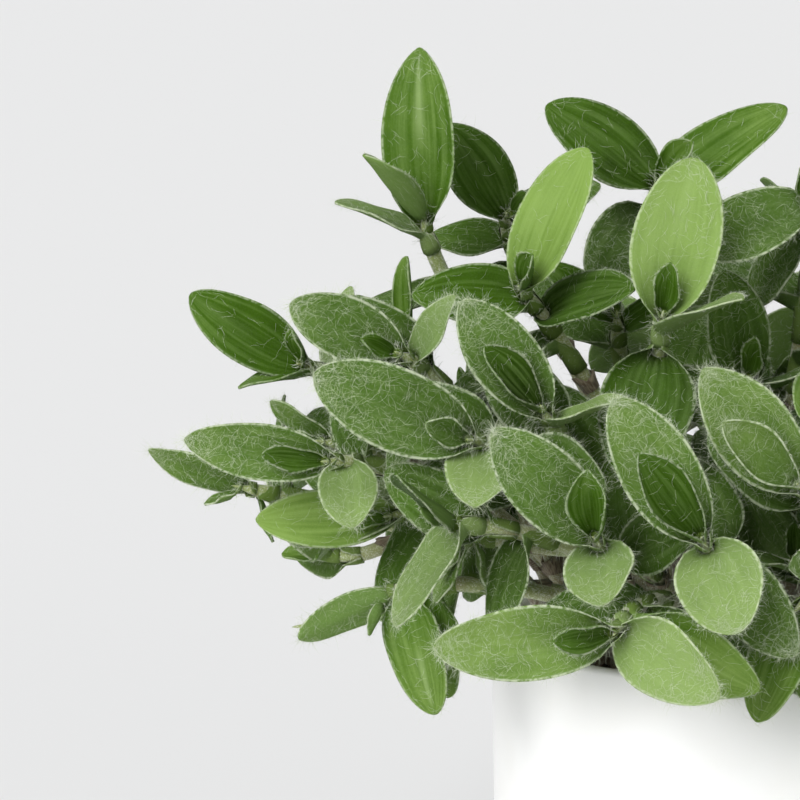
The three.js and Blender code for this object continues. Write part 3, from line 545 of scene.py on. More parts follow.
class Plant:
    """Grows every shoot and leaf by the rule that the solids were grown by."""

    def __init__(self) -> None:
        """Grows the whole plant."""
        self.dice = Dice(11)
        self.space = Space()
        self.shoots = [Shoot(row.name, vec(*row.head), heading(*row.aim), row.older, row=row,
                             side_of=row.side_of) for row in PHOTO_SHOOTS]
        self.add_dome()
        self.add_side_shoots()
        self.add_spurs()
        for i, shoot in enumerate(self.shoots):
            shoot.owner = i
        self.by_name = {shoot.name: shoot for shoot in self.shoots}
        self.mains = [shoot for shoot in self.shoots if not shoot.side_of]
        self.lay_stems()
        self.shoots = [shoot for shoot in self.shoots if shoot.path]
        self.grow_leaves()

    def spare(self, p: Vec) -> float:
        """The distance from a point to the nearest growing point."""
        return min(away(p, shoot.head) for shoot in self.shoots)

    def lean(self, low: float, high: float) -> Vec:
        """A draw of a small lean that is mostly upward."""
        return vec(self.dice(-0.3, 0.3), self.dice(-0.3, 0.3), self.dice(low, high))

    def add_dome(self) -> None:
        """Adds shoots all round the sides that the photograph doesn't show."""
        for i in range(RULE.dome_count):
            up = 1 - RULE.dome_depth * (i + 0.5) / RULE.dome_count
            flat = math.sqrt(max(0.0, 1 - up * up))
            q = vec(math.cos(i * GOLDEN_ANGLE) * flat, math.sin(i * GOLDEN_ANGLE) * flat, up)
            k = self.dice(0.9, 1.05)
            reach = vec(RULE.dome_right if q[0] > 0 else RULE.dome_left, RULE.dome_back,
                        RULE.dome_top if up > 0 else RULE.dome_below)
            head = RULE.crown + q * reach * k
            aim = unit(q + self.lean(0.15, 0.6))
            mains = sum(1 for shoot in self.shoots if not shoot.side_of)
            spaced = self.spare(head) > RULE.main_spacing
            if mains < RULE.main_stems and not photographed(head) and spaced:
                self.shoots.append(Shoot(f"d{i}", head, aim, 1, plain=4))

    def add_side_shoots(self) -> None:
        """Adds one side shoot on each of those stems, where there is room for it."""
        for main in [shoot for shoot in self.shoots if shoot.plain]:
            e1 = unit(cross(main.aim, vec(0.1, 0.2, 1)))
            e2 = cross(main.aim, e1)
            roll = self.dice(-math.pi, math.pi)
            far = self.dice(30, 42)
            back = self.dice(4, 16)
            lean = self.lean(0.15, 0.6)
            for k in range(10):
                t = roll + k * math.pi / 5
                head = main.head + e1 * (math.cos(t) * far) + e2 * (math.sin(t) * far) - main.aim * back
                in_pot = (head[2] < RULE.pot_height + RULE.pot_margin
                          and math.hypot(head[0], head[1]) < RULE.rim_radius + RULE.pot_margin)
                high = head[2] > RULE.pot_height - RULE.lowest_side_head
                spaced = self.spare(head) > RULE.side_spacing
                if high and spaced and not in_pot and not photographed(head):
                    aim = unit(unit(head - RULE.crown) + lean)
                    self.shoots.append(Shoot(f"{main.name}s", head, aim, 0, plain=3, side_of=main.name))
                    break

    def add_spurs(self) -> None:
        """Adds short side shoots that fill the inside of the dome."""
        made = 0
        for main in [shoot for shoot in self.shoots if not shoot.side_of][::-1]:
            roll = self.dice(-math.pi, math.pi)
            far = self.dice(0.42, 0.6)
            lean = self.lean(0.3, 0.9)
            for k in range(8):
                if made >= RULE.spur_count:
                    break
                t = roll + k * math.pi / 4
                core = vec(main.head[0] * far, main.head[1] * far,
                           RULE.spur_core + (main.head[2] - RULE.spur_core) * far)
                head = core + vec(math.cos(t) * RULE.spur_swing, math.sin(t) * RULE.spur_swing,
                                  RULE.spur_rise)
                open_side = head[0] < -12 and seen_height(head) > 184
                spaced = self.spare(head) > RULE.spur_spacing
                if head[2] > RULE.lowest_spur and not open_side and spaced:
                    aim = unit(unit(head - RULE.crown) + lean)
                    self.shoots.append(Shoot(f"{main.name}t", head, aim, 0, plain=3, small=True,
                                             side_of=main.name))
                    made += 1
                    break

    def lay_stems(self) -> None:
        """Finds a path for every stem."""
        for shoot in self.shoots:
            reserve = np.array([shoot.head - shoot.aim * d for d in (0, 6, 12)])
            self.space.take(reserve, RULE.head_reach, shoot.owner)
        free = list(range(RULE.site_count))
        for shoot in self.mains:
            shoot.path, shoot.site = self.main_path(shoot, free)
            free.remove(shoot.site)
            self.space.take(shoot.path.points, RULE.stem_reach, shoot.owner)
        for shoot in [shoot for shoot in self.shoots if shoot.side_of]:
            shoot.path = self.side_path(shoot, self.by_name[shoot.side_of])
            if shoot.path:
                self.space.take(shoot.path.points[3:], RULE.stem_reach, shoot.owner)
        self.space.keep(self.space.reach != RULE.head_reach)

    def main_path(self, shoot: Shoot, free: list[int]) -> tuple[Path, int]:
        """The first free site and bow whose path clears the pot and every other stem.

        Args:
            shoot: The shoot to reach.
            free: The sites that are still free.

        Returns:
            The path and its site.
        """
        ideal = (shoot.head[0] * RULE.root_share, shoot.head[1] * RULE.root_share)
        sites = sorted(free, key=lambda i: (RULE.site(i)[0] - ideal[0]) ** 2
                       + (RULE.site(i)[1] - ideal[1]) ** 2)[:RULE.sites_tried]
        others = self.space.near(shoot.head, RULE.neighbourhood, shoot.owner)
        best_gap, best = -math.inf, None
        for site in sites:
            root = vec(*RULE.site(site), RULE.soil_top + RULE.foot_rise)
            for rise in RULE.main_rises:
                for bow in RULE.main_bows:
                    path = Path(root, shoot.head, shoot.aim, rise, vec(0, 0, 1), bow)
                    fits = path.smooth and stem_clears_pot(path.points)
                    gap = others.gap(path.points, RULE.stem_reach) if fits else -99.0
                    if gap > best_gap:
                        best_gap, best = gap, (path, site)
                    if best_gap >= 0:
                        return best
        return best

    def side_path(self, shoot: Shoot, main: Shoot) -> Optional[Path]:
        """A path for a side shoot that leaves its stem clear of everything.

        Args:
            shoot: The side shoot.
            main: The stem that it grows from.

        Returns:
            The path, or None where there is no room.
        """
        others = self.space.near(shoot.head, RULE.neighbourhood, shoot.owner)
        for share in RULE.fork_shares:
            distance = main.path.length * share
            crowded = any(abs(fork - distance) < RULE.forks_apart for fork, _ in main.forks)
            if crowded or distance < RULE.fork_from_tip:
                continue
            at, along = main.path.back(distance)
            off = shoot.head - at
            out = unit(off - along * float(off @ along))
            leave = unit(along * 0.5 + out * 0.85)
            clear = Space()
            far_off = np.linalg.norm(others.at - at, axis=1) > RULE.fork_clear
            clear.at, clear.reach, clear.owner = others.at, others.reach, others.owner
            clear.keep((others.owner != main.owner) | far_off)
            for rise in RULE.side_rises:
                for bow in RULE.side_bows:
                    path = Path(at, shoot.head, shoot.aim, rise, leave, bow)
                    apart = np.linalg.norm(path.points - at, axis=1)
                    own = path.points[apart > RULE.fork_own_clear]
                    gaps = np.linalg.norm(own[:, None] - main.path.points[None], axis=2)
                    off_main = bool((gaps > RULE.fork_own_gap).all())
                    fits = path.smooth and off_main and stem_clears_pot(path.points)
                    free = path.points[apart > RULE.fork_others_clear]
                    if fits and clear.gap(free, RULE.stem_reach) >= 0:
                        main.forks.append((distance, shoot))
                        return path
        return None

    def grow_leaves(self) -> None:
        """Grows the photograph's leaves, then the plain ones, then those further down."""
        for shoot in self.shoots:
            along = shoot.path.back(1)[1]
            shoot.fan = unit(cross(along, vec(0.1, 0.2, 1)))
            if shoot.plain:
                shoot.fan = turned(shoot.fan, along, self.dice(-math.pi, math.pi))
        for shoot in [shoot for shoot in self.shoots if shoot.row]:
            self.grow_photo_leaves(shoot)
        for shoot in [shoot for shoot in self.shoots if shoot.plain]:
            self.grow_plain_leaves(shoot)
        for shoot in self.shoots:
            self.grow_older_leaves(shoot)

    def grow_photo_leaves(self, shoot: Shoot) -> None:
        """Grows the leaves that the photograph shows on a shoot."""
        for i, (length, turn, lean, ratio, *stand) in enumerate(shoot.row.leaves):
            along = shoot.path.back(RULE.nodes_from_tip[i])[1]
            axis = heading(*stand) if stand else along
            arch = RULE.tip_arch if i == 0 else RULE.photo_arch
            leaf = self.place(shoot, i, axis, heading(turn, lean), length, ratio, arch, False)
            if leaf and i == 1:
                shoot.fan = leaf.out

    def grow_plain_leaves(self, shoot: Shoot) -> None:
        """Grows the leaves near the tip of a shoot that the photograph doesn't show."""
        vigour = self.dice(0.85, 1.1) * (0.8 if shoot.small else 1)
        for i, (length, opening, ratio) in enumerate(RULE.plain_leaves[:shoot.plain]):
            swing = math.radians(self.dice(-14, 14))
            opened = math.radians(opening + self.dice(-7, 7))
            long = length * vigour * self.dice(0.92, 1.08)
            arch = RULE.tip_arch if i == 0 else RULE.plain_arch
            self.place_by_angle(shoot, i, swing, opened, long, ratio, arch, i > 2)

    def grow_older_leaves(self, shoot: Shoot) -> None:
        """Grows the leaves further down a stem, where there is room."""
        first = shoot.plain or len(shoot.row.leaves)
        for k in range(shoot.older):
            swing = math.radians(self.dice(-30, 30))
            wide = RULE.older_opening + RULE.older_opening_step * k
            opened = math.radians(wide + self.dice(-8, 8))
            long = self.dice(28, 38)
            top = RULE.clasp_tops[first + k] - RULE.fork_half - 0.5
            end = RULE.clasp_ends[first + k] + RULE.fork_half + 0.5
            if all(d < top or d > end for d, _ in shoot.forks) and end < shoot.path.length - 8:
                self.place_by_angle(shoot, first + k, swing, opened, long, RULE.older_ratio,
                                    RULE.older_arch, True)

    def place_by_angle(self, shoot: Shoot, i: int, swing: float, opened: float, length: float,
                       ratio: float, arch: float, strict: bool) -> None:
        """Places a leaf by its swing round the stem and its opening from it."""
        along = shoot.path.back(RULE.nodes_from_tip[i])[1]
        round_stem = turned(shoot.fan * (1 if i % 2 else -1), along, swing)
        out = unit(round_stem - along * float(round_stem @ along))
        toward = along * math.cos(opened) + out * math.sin(opened)
        self.place(shoot, i, along, toward, length, ratio, arch, strict)

    def place(self, shoot: Shoot, i: int, axis: Vec, toward: Vec, length: float, ratio: float,
              arch: float, strict: bool) -> Optional[Leaf]:
        """Tries a leaf as wanted, then moved, and keeps the first that clears everything else.

        Args:
            shoot: The shoot that it grows on.
            i: Its place, counted from the tip.
            axis: The direction that its hollow side faces.
            toward: The direction in which it reaches out.
            length: Its length.
            ratio: Its width over its length.
            arch: How far its midrib bends, in degrees.
            strict: Whether it has to clear its own shoot too.

        Returns:
            The leaf, or None where there is no room.
        """
        at = shoot.path.back(RULE.nodes_from_tip[i])[0]
        c = float(np.clip(toward @ axis, -1, 1))
        opened = math.acos(c)
        out = unit(toward - axis * float(toward @ axis))
        others = self.space.near(at, length + RULE.leaf_neighbourhood, shoot.owner)
        stem = shoot.path.points
        stem = stem[np.linalg.norm(stem - at, axis=1) > RULE.node_reach]
        own = np.array(shoot.own).reshape(-1, 3)
        reach = RULE.own_leaf_reach_inside if strict else RULE.own_leaf_reach
        for swing, tilt, k in SMALL_MOVES if shoot.row and not strict else LARGE_MOVES:
            angle = opened + math.radians(tilt)
            if angle < RULE.least_opening:
                continue
            round_stem = turned(out, axis, math.radians(swing))
            way = axis * math.cos(angle) + round_stem * math.sin(angle)
            leaf = Leaf(at, axis, way, length * k, ratio, arch)
            points = leaf.samples()
            if not leaf_clears_pot(points) or others.gap(points, RULE.leaf_reach) < 0:
                continue
            if (shoot.plain or strict) and over_background(points):
                continue
            if shoot.plain or strict:
                apart = np.linalg.norm(points[4:, None] - own[None], axis=2)
                off_stem = np.linalg.norm(points[8:, None] - stem[None], axis=2)
                if (apart < reach).any() or (off_stem < RULE.own_stem_reach).any():
                    continue
            leaf.order = i
            shoot.grown.append(leaf)
            shoot.own.extend(points[4:])
            self.space.take(points, RULE.leaf_reach, shoot.owner)
            return leaf
        return None


def linear(code: str) -> tuple[float, float, float, float]:
    """A colour for a shader.

    Args:
        code: The colour as sRGB hex digits.

    Returns:
        Linear red, green, blue, and 1.
    """
    parts = [int(code[i:i + 2], 16) / 255 for i in (0, 2, 4)]
    r, g, b = [c / 12.92 if c <= 0.04045 else ((c + 0.055) / 1.055) ** 2.4 for c in parts]
    return r, g, b, 1.0


KINDS = {
    "times": ("ShaderNodeMath", {"operation": "MULTIPLY"}, (0, 1), 0),
    "plus": ("ShaderNodeMath", {"operation": "ADD"}, (0, 1), 0),
    "less": ("ShaderNodeMath", {"operation": "SUBTRACT"}, (0, 1), 0),
    "size": ("ShaderNodeMath", {"operation": "ABSOLUTE"}, (0,), 0),
    "sine": ("ShaderNodeMath", {"operation": "SINE"}, (0,), 0),
    "fraction": ("ShaderNodeMath", {"operation": "FRACT"}, (0,), 0),
    "greater": ("ShaderNodeMath", {"operation": "MAXIMUM"}, (0, 1), 0),
    "fade": ("ShaderNodeMapRange", {"interpolation_type": "SMOOTHSTEP"}, (0, 1, 2), 0),
    "mix": ("ShaderNodeMix", {"data_type": "RGBA"}, (0, 6, 7), 2),
    "noise": ("ShaderNodeTexNoise", {}, ("Vector", "Scale", "Detail", "Distortion"), 0),
    "cells": ("ShaderNodeTexVoronoi", {}, ("Vector", "Scale"), None),
    "place": ("ShaderNodeCombineXYZ", {}, (0, 1, 2), 0),
    "shift": ("ShaderNodeVectorMath", {}, (0, 1), 0),
    "stretch": ("ShaderNodeVectorMath", {"operation": "SCALE"}, (0, "Scale"), 0),
    "parts": ("ShaderNodeSeparateXYZ", {}, (0,), None),
    "colour parts": ("ShaderNodeSeparateColor", {}, (0,), None),
    "attribute": ("ShaderNodeAttribute", {}, (), None),
    "coordinates": ("ShaderNodeTexCoord", {}, (), None),
    "bump": ("ShaderNodeBump", {}, ("Height", "Strength", "Distance"), 0),
    "surface": ("ShaderNodeBsdfPrincipled", {}, (), 0),
    "material": ("ShaderNodeOutputMaterial", {}, ("Surface",), None),
    "glow": ("ShaderNodeBackground", {}, ("Color", "Strength"), 0),
    "world": ("ShaderNodeOutputWorld", {}, ("Surface",), None),
}


class Sketch:
    """The node tree of a material or of the world. put() adds its nodes."""

    def __init__(self, owner: Any) -> None:
        """Empties the tree of this material or world."""
        self.owner = owner
        owner.use_nodes = True
        self.tree = owner.node_tree
        self.tree.nodes.clear()

    @cached_property
    def place_mm(self) -> Any:
        """Each point's place on its piece, in millimetres."""
        return self.put("stretch", self.put("coordinates")["Object"], 1 / MM)

    def put(self, kind: str, *values: Any, links: Optional[dict] = None, **settings: Any) -> Any:
        """Adds a node with its settings and links.

        Args:
            kind: A row of KINDS: the node's type and mode, its inputs in order and its output.
            values: What goes into those inputs: outputs of other nodes, or values.
            links: The same for other inputs, by name.
            settings: The node's own settings besides the row's.

        Returns:
            The output that the row gives, or all outputs where it gives none.
        """
        node_type, mode, places, output = KINDS[kind]
        node = self.tree.nodes.new(node_type)
        for name, value in {**mode, **settings}.items():
            setattr(node, name, value)
        for name, value in {**dict(zip(places, values)), **(links or {})}.items():
            if isinstance(value, bpy.types.NodeSocket):
                self.tree.links.new(value, node.inputs[name])
            else:
                node.inputs[name].default_value = value
        return node.outputs if output is None else node.outputs[output]

    def finish(self, **inputs: Any) -> bpy.types.Material:
        """Adds the surface with these inputs, a _ for each space, and returns the material."""
        links = {name.replace("_", " "): value for name, value in inputs.items()}
        self.put("material", self.put("surface", links=links))
        return self.owner


@dataclass(frozen=True)
class VelvetLeaf:
    """Living leaf skin, grown: deep green and soft, its shine broken by a coat of white hairs."""

    dark: str = "1a2a05"
    middle: str = "3f6012"
    bright: str = "7c9949"
    pale: str = "a9bf83"
    under: str = "6f8c4a"
    wool: str = "dbe2c8"
    felt: str = "93a674"
    foot: str = "687b38"
    hair_loop_mm: float = 2.0
    fine_loop: float = 0.6
    hair_line: tuple[float, float] = (0.09, 0.02)
    hair_gaps: tuple[float, float] = (0.48, 0.58)
    cloud_mm: float = 10.0
    cloud_share: float = 0.45
    speck_mm: float = 0.6
    speck_share: float = 0.16
    painted_shade_to_foot: float = 0.22
    streak_share: float = 0.05
    band_share: float = 0.65
    stripe_and_sheen_share: float = 0.4
    under_share: float = 0.45
    foot_share: float = 0.5
    down_mm: float = 0.45
    down_share: float = 0.65
    line_share: float = 0.3
    tuft_mm: float = 1.1
    margin_share: float = 0.55
    vein_count: float = 34.0
    relief_mm: float = 0.4
    relief_depth_mm: float = 0.22
    roughness: float = 0.5
    ior: float = 1.4

    def squiggles(self, s: Sketch, shift: float, each_mm: float, lines: float) -> Any:
        """Thin curly lines, as wool pressed to the blade: contour lines of a noise, broken up."""
        place = s.put("shift", s.place_mm, (shift, 2 * shift, 0))
        level = s.put("times", s.put("noise", place, 1 / each_mm, 2.0, 1.6), lines)
        off_line = s.put("size", s.put("less", s.put("fraction", level), 0.5))
        line = s.put("fade", off_line, *self.hair_line)
        gaps = s.put("fade", s.put("noise", place, 1 / (each_mm * 0.6), 1.0), *self.hair_gaps)
        return s.put("times", line, gaps)

    def wool_lines(self, s: Sketch, wool: Any) -> Any:
        """Two layers of squiggles, as strong as this leaf is woolly."""
        lines = s.put("greater", self.squiggles(s, 3.0, self.hair_loop_mm, 9.0),
                      self.squiggles(s, 17.0, self.hair_loop_mm * self.fine_loop, 6.0))
        return s.put("times", lines, wool)

    def greens(self, s: Sketch, across: Any, along: Any, light: Any, wool: Any) -> Any:
        """The skin's green, clouded, with painted shade toward its foot, lighter toward its tip, and
        streaks and fine veins that run along the blade.
        """
        cloud = s.put("less", s.put("noise", s.place_mm, 1 / self.cloud_mm, 3.0), 0.5)
        specks = s.put("less", s.put("noise", s.place_mm, 1 / self.speck_mm, 2.0), 0.5)
        level = s.put("plus", light, s.put("times", cloud, self.cloud_share))
        # Painted shade: the green darkens toward the leaf's foot and lightens toward its tip.
        level = s.put("plus", level, s.put("times", s.put("less", along, 0.5), self.painted_shade_to_foot))
        level = s.put("plus", level, s.put("times", specks, self.speck_share))
        grain = s.put("place", s.put("times", across, 7.0), s.put("times", along, 1.2),
                      s.put("times", light, 40.0))
        streak = s.put("noise", grain, 1.0, 2.5)
        bare = s.put("times", s.put("less", 0.75, wool), self.band_share)
        level = s.put("plus", level, s.put("times", s.put("less", streak, 0.5), bare))
        green = s.put("mix", s.put("fade", level, -0.1, 0.6), linear(self.dark), linear(self.middle))
        green = s.put("mix", s.put("fade", level, 0.42, 1.15), green, linear(self.bright))
        share = s.put("times", s.put("fade", streak, 0.35, 0.75), self.streak_share * 2)
        return s.put("mix", share, green, linear(self.pale))

    def make(self) -> bpy.types.Material:
        """Builds the material."""
        s = Sketch(bpy.data.materials.new("velvet_leaf"))
        across, along, upper = s.put("parts", s.put("attribute", attribute_name="blade")["Vector"])
        tone = s.put("attribute", attribute_name="tone")
        wool, stripe_and_sheen, light = s.put("colour parts", tone["Color"])
        felt = tone["Alpha"]
        off_middle = s.put("size", across)
        lines = self.wool_lines(s, wool)
        # The pale band along the middle of the blade, partly a painted sheen.
        stripe_and_sheen_mask = s.put("times", s.put("fade", off_middle, 0.22, 0.02), s.put("fade", along, 0.35, 0.6))
        stripe_and_sheen_mask = s.put("times", s.put("times", stripe_and_sheen_mask, stripe_and_sheen), s.put("fade", along, 0.98, 0.85))
        down = s.put("times", s.put("noise", s.place_mm, 1 / self.down_mm, 3.0), 0.75)
        down = s.put("times", felt, s.put("plus", 0.25, down))
        margin = s.put("times", s.put("fade", off_middle, 0.93, 0.99), s.put("plus", 0.45, wool))
        tufts = s.put("fade", s.put("noise", s.place_mm, 1 / self.tuft_mm, 2.0), 0.3, 0.62)
        green = self.greens(s, across, along, light, wool)
        for where, share, colour in (
                (stripe_and_sheen_mask, self.stripe_and_sheen_share, self.pale),
                (s.put("less", 1.0, upper), self.under_share, self.under),
                (s.put("fade", along, 0.05, -0.12), self.foot_share, self.foot),
                (down, self.down_share, self.felt),
                (lines, self.line_share, self.wool),
                (s.put("times", margin, tufts), self.margin_share, self.wool)):
            green = s.put("mix", s.put("times", where, share), green, linear(colour))
        veins = s.put("size", s.put("sine", s.put("times", across, self.vein_count)))
        relief = s.put("plus", s.put("times", veins, 0.12), s.put("times", lines, 0.8))
        grain = s.put("times", s.put("noise", s.place_mm, 1 / self.relief_mm, 2.0), 0.7)
        bump = s.put("bump", s.put("plus", relief, grain), 0.5, self.relief_depth_mm * MM)
        rough = s.put("plus", self.roughness, s.put("times", s.put("plus", wool, felt), 0.2))
        return s.finish(Base_Color=green, Roughness=rough, IOR=self.ior, Normal=bump,
                        Specular_IOR_Level=0.06)


@dataclass(frozen=True)
class LeafWool:
    """Dry hollow plant hairs, white like cotton because they scatter all light."""

    white: str = "e9ecdf"
    root: str = "94a96c"
    patch_mm: float = 3.0
    roughness: float = 0.6

    def make(self) -> bpy.types.Material:
        """Builds the material."""
        s = Sketch(bpy.data.materials.new("leaf_wool"))
        lying, along, _ = s.put("parts", s.put("attribute", attribute_name="blade")["Vector"])
        tint = s.put("mix", s.put("fade", along, 0.0, 0.5), linear(self.root), linear(self.white))
        pressed = s.put("times", s.put("plus", s.put("times", lying, 0.4), 0.1), 2.0)
        patches = s.put("times", s.put("noise", s.place_mm, 1 / self.patch_mm, 2.0), pressed)
        return s.finish(Base_Color=s.put("mix", patches, tint, linear(self.root)),
                        Roughness=self.roughness, Sheen_Weight=0.2, Sheen_Roughness=0.5)


@dataclass(frozen=True)
class HairyStem:
    """Succulent stem skin, yellow-green to pinkish grey, under long white hairs."""

    green: str = "8b9a55"
    pink: str = "9c8576"
    wool: str = "dfe3d3"
    patch_mm: float = 12.0
    hair_mm: float = 0.7
    roughness: float = 0.6

    def make(self) -> bpy.types.Material:
        """Builds the material."""
        s = Sketch(bpy.data.materials.new("hairy_stem"))
        _, along, _ = s.put("parts", s.put("attribute", attribute_name="blade")["Vector"])
        patches = s.put("noise", s.place_mm, 1 / self.patch_mm, 2.0)
        age = s.put("fade", s.put("plus", patches, s.put("times", along, 0.9)), 0.5, 1.3)
        skin = s.put("mix", age, linear(self.green), linear(self.pink))
        hairs = s.put("noise", s.place_mm, 1 / self.hair_mm, 2.0, 2.0)
        skin = s.put("mix", s.put("times", s.put("fade", hairs, 0.5, 0.62), 0.55), skin,
                     linear(self.wool))
        return s.finish(Base_Color=skin, Roughness=self.roughness,
                        Normal=s.put("bump", hairs, 0.5, 0.2 * MM), Sheen_Weight=0.4,
                        Sheen_Roughness=0.5, Subsurface_Weight=0.1,
                        Subsurface_Radius=(1.0, 0.7, 0.3), Subsurface_Scale=1.0 * MM)


@dataclass(frozen=True)
class DrySheath:
    """Old leaf sheath, dried to thin fibrous paper: beige with brown threads along it."""

    light: str = "a1977e"
    brown: str = "5e4f3c"
    threads: float = 16.0
    patch_mm: float = 5.0
    roughness: float = 0.8

    def make(self) -> bpy.types.Material:
        """Builds the material."""
        s = Sketch(bpy.data.materials.new("dry_papery_sheath"))
        across, along, _ = s.put("parts", s.put("attribute", attribute_name="blade")["Vector"])
        fibre = s.put("place", s.put("times", across, self.threads), s.put("times", along, 2.0))
        thread = s.put("noise", fibre, 1.0, 3.0)
        tint = s.put("mix", s.put("fade", thread, 0.35, 0.7), linear(self.brown), linear(self.light))
        patches = s.put("times", s.put("noise", s.place_mm, 1 / self.patch_mm, 2.0), 0.5)
        return s.finish(Base_Color=s.put("mix", patches, tint, linear(self.brown)),
                        Roughness=self.roughness, Normal=s.put("bump", thread, 0.6, 0.3 * MM),
                        Sheen_Weight=0.15)


@dataclass(frozen=True)
class PeatSoil:
    """Moist peat and composted bark: dark, matte crumbs with paler fibres."""

    dark: str = "241a13"
    brown: str = "4b3625"
    fibre: str = "7c6244"
    crumb_mm: float = 1.6
    patch_mm: float = 4.0
    grain_mm: float = 0.8
    roughness: float = 0.95

    def make(self) -> bpy.types.Material:
        """Builds the material."""
        s = Sketch(bpy.data.materials.new("peat_potting_soil"))
        crumb = s.put("cells", s.place_mm, 1 / self.crumb_mm)
        patches = s.put("noise", s.place_mm, 1 / self.patch_mm, 3.0)
        tint = s.put("mix", patches, linear(self.dark), linear(self.brown))
        shade = s.put("colour parts", crumb["Color"])[0]
        tint = s.put("mix", s.put("times", s.put("fade", shade, 0.7, 1.0), 0.6), tint,
                     linear(self.fibre))
        height = s.put("plus", s.put("noise", s.place_mm, 1 / self.grain_mm, 3.0),
                       s.put("times", crumb["Distance"], -0.8))
        return s.finish(Base_Color=tint, Roughness=self.roughness,
                        Normal=s.put("bump", height, 0.9, 0.6 * MM))


@dataclass(frozen=True)
class WhiteGlaze:
    """Satin white glaze on fired clay, dipped: even and bright, with a faint ripple in its shine."""

    white: str = "fdfdfc"
    warm: str = "f7f6f2"
    cloud_mm: float = 28.0
    ripple_mm: float = 7.0
    grain_mm: float = 0.6
    roughness: float = 0.34
    ior: float = 1.5

    def make(self) -> bpy.types.Material:
        """Builds the material."""
        s = Sketch(bpy.data.materials.new("white_satin_glaze"))
        cloud = s.put("noise", s.place_mm, 1 / self.cloud_mm, 3.0)
        tint = s.put("mix", s.put("times", s.put("fade", cloud, 0.45, 0.8), 0.6), linear(self.white),
                     linear(self.warm))
        grain = s.put("times", s.put("noise", s.place_mm, 1 / self.grain_mm, 2.0), 0.12)
        ripple = s.put("plus", s.put("noise", s.place_mm, 1 / self.ripple_mm, 2.0), grain)
        rough = s.put("plus", self.roughness - 0.05, s.put("times", cloud, 0.1))
        return s.finish(Base_Color=tint, Roughness=rough, IOR=self.ior,
                        Normal=s.put("bump", ripple, 0.12, 0.4 * MM))


@dataclass(frozen=True)
class StudioPaper:
    """Matte pale grey background paper under and behind the plant."""

    grey: str = "e9e9e9"
    roughness: float = 0.9

    def make(self) -> bpy.types.Material:
        """Builds the material."""
        s = Sketch(bpy.data.materials.new("pale_studio_paper"))
        return s.finish(Base_Color=linear(self.grey), Roughness=self.roughness,
                        Specular_IOR_Level=0.2)


class MeshStore:
    """Collects the points and faces of one piece, and what its material reads at each point."""

    def __init__(self) -> None:
        """Starts empty."""
        self.count = 0
        self.points: list[Vec] = []
        self.blade: list[Vec] = []
        self.tone: list[Vec] = []
        self.faces: list[tuple[Vec, int]] = []

    def add(self, points: Vec, blade: Optional[Vec] = None,
            tone: tuple[float, ...] = (0, 0, 0, 0)) -> int:
        """Adds points in millimetres.

        Args:
            points: The points.
            blade: For each, its place across and along, and 1 on an upper face.
            tone: Wool, pale band partly of painted sheen, lightness and felt, alike for all of them.

        Returns:
            The number of the first of them.
        """
        first = self.count
        self.points.append(points)
        self.blade.append(np.zeros((len(points), 3)) if blade is None else blade)
        self.tone.append(np.tile(np.array(tone, float), (len(points), 1)))
        self.count += len(points)
        return first

    def cover(self, corners: Vec, slot: int = 0) -> None:
        """Adds faces, one a row of point numbers, in a material slot."""
        self.faces.append((np.asarray(corners, np.int32), slot))

    def enclose(self, rows: list[Vec], start: Optional[Vec], end: Vec) -> None:
        """Adds rings of points and covers them, from one middle point to another.

        Args:
            rows: The rings, all with the same number of points.
            start: The point that closes the first ring, or None to leave it open.
            end: The point that closes the last ring.
        """
        around = len(rows[0])
        first = self.add(np.vstack(rows))
        self.cover(ring_faces(first, len(rows), around))
        if start is not None:
            self.cover(fan_faces(first, around, self.add(start[None]), False))
        last = first + (len(rows) - 1) * around
        self.cover(fan_faces(last, around, self.add(end[None]), True))

    def triangles(self) -> int:
        """How many triangles the faces make."""
        return sum(len(f) * (f.shape[1] - 2) for f, _ in self.faces)

    def build(self, name: str, materials: list[bpy.types.Material]) -> bpy.types.Object:
        """Makes the object.

        Args:
            name: Its name.
            materials: One for each slot.

        Returns:
            The object, with smooth faces.
        """
        mesh = bpy.data.meshes.new(name)
        mesh.vertices.add(self.count)
        mesh.vertices.foreach_set("co", (np.vstack(self.points) * MM).astype(np.float32).ravel())
        corners = np.concatenate([f.ravel() for f, _ in self.faces])
        sizes = np.concatenate([np.full(len(f), f.shape[1]) for f, _ in self.faces])
        slots = np.concatenate([np.full(len(f), slot) for f, slot in self.faces])
        mesh.loops.add(len(corners))
        mesh.loops.foreach_set("vertex_index", corners.astype(np.int32))
        mesh.polygons.add(len(sizes))
        starts = np.concatenate([[0], np.cumsum(sizes)[:-1]])
        mesh.polygons.foreach_set("loop_start", starts.astype(np.int32))
        mesh.polygons.foreach_set("material_index", slots.astype(np.int32))
        mesh.polygons.foreach_set("use_smooth", np.ones(len(sizes), bool))
        blade = mesh.attributes.new("blade", "FLOAT_VECTOR", "POINT")
        blade.data.foreach_set("vector", np.vstack(self.blade).astype(np.float32).ravel())
        tone = mesh.attributes.new("tone", "FLOAT_COLOR", "POINT")
        tone.data.foreach_set("color", np.vstack(self.tone).astype(np.float32).ravel())
        mesh.update(calc_edges=True)
        mesh.validate()
        piece = bpy.data.objects.new(name, mesh)
        bpy.context.scene.collection.objects.link(piece)
        for material in materials:
            mesh.materials.append(material)
        return piece


def ring_faces(first: int, rings: int, around: int) -> Vec:
    """The four-cornered faces between rings of points, each ring closed.

    Args:
        first: The number of the first ring's first point.
        rings: How many rings there are.
        around: How many points each has.

    Returns:
        One row of four point numbers for each face.
    """
    i, j = np.meshgrid(np.arange(rings - 1), np.arange(around), indexing="ij")
    a = first + i * around + j
    b = first + i * around + (j + 1) % around
    return np.stack([a, b, b + around, a + around], -1).reshape(-1, 4)


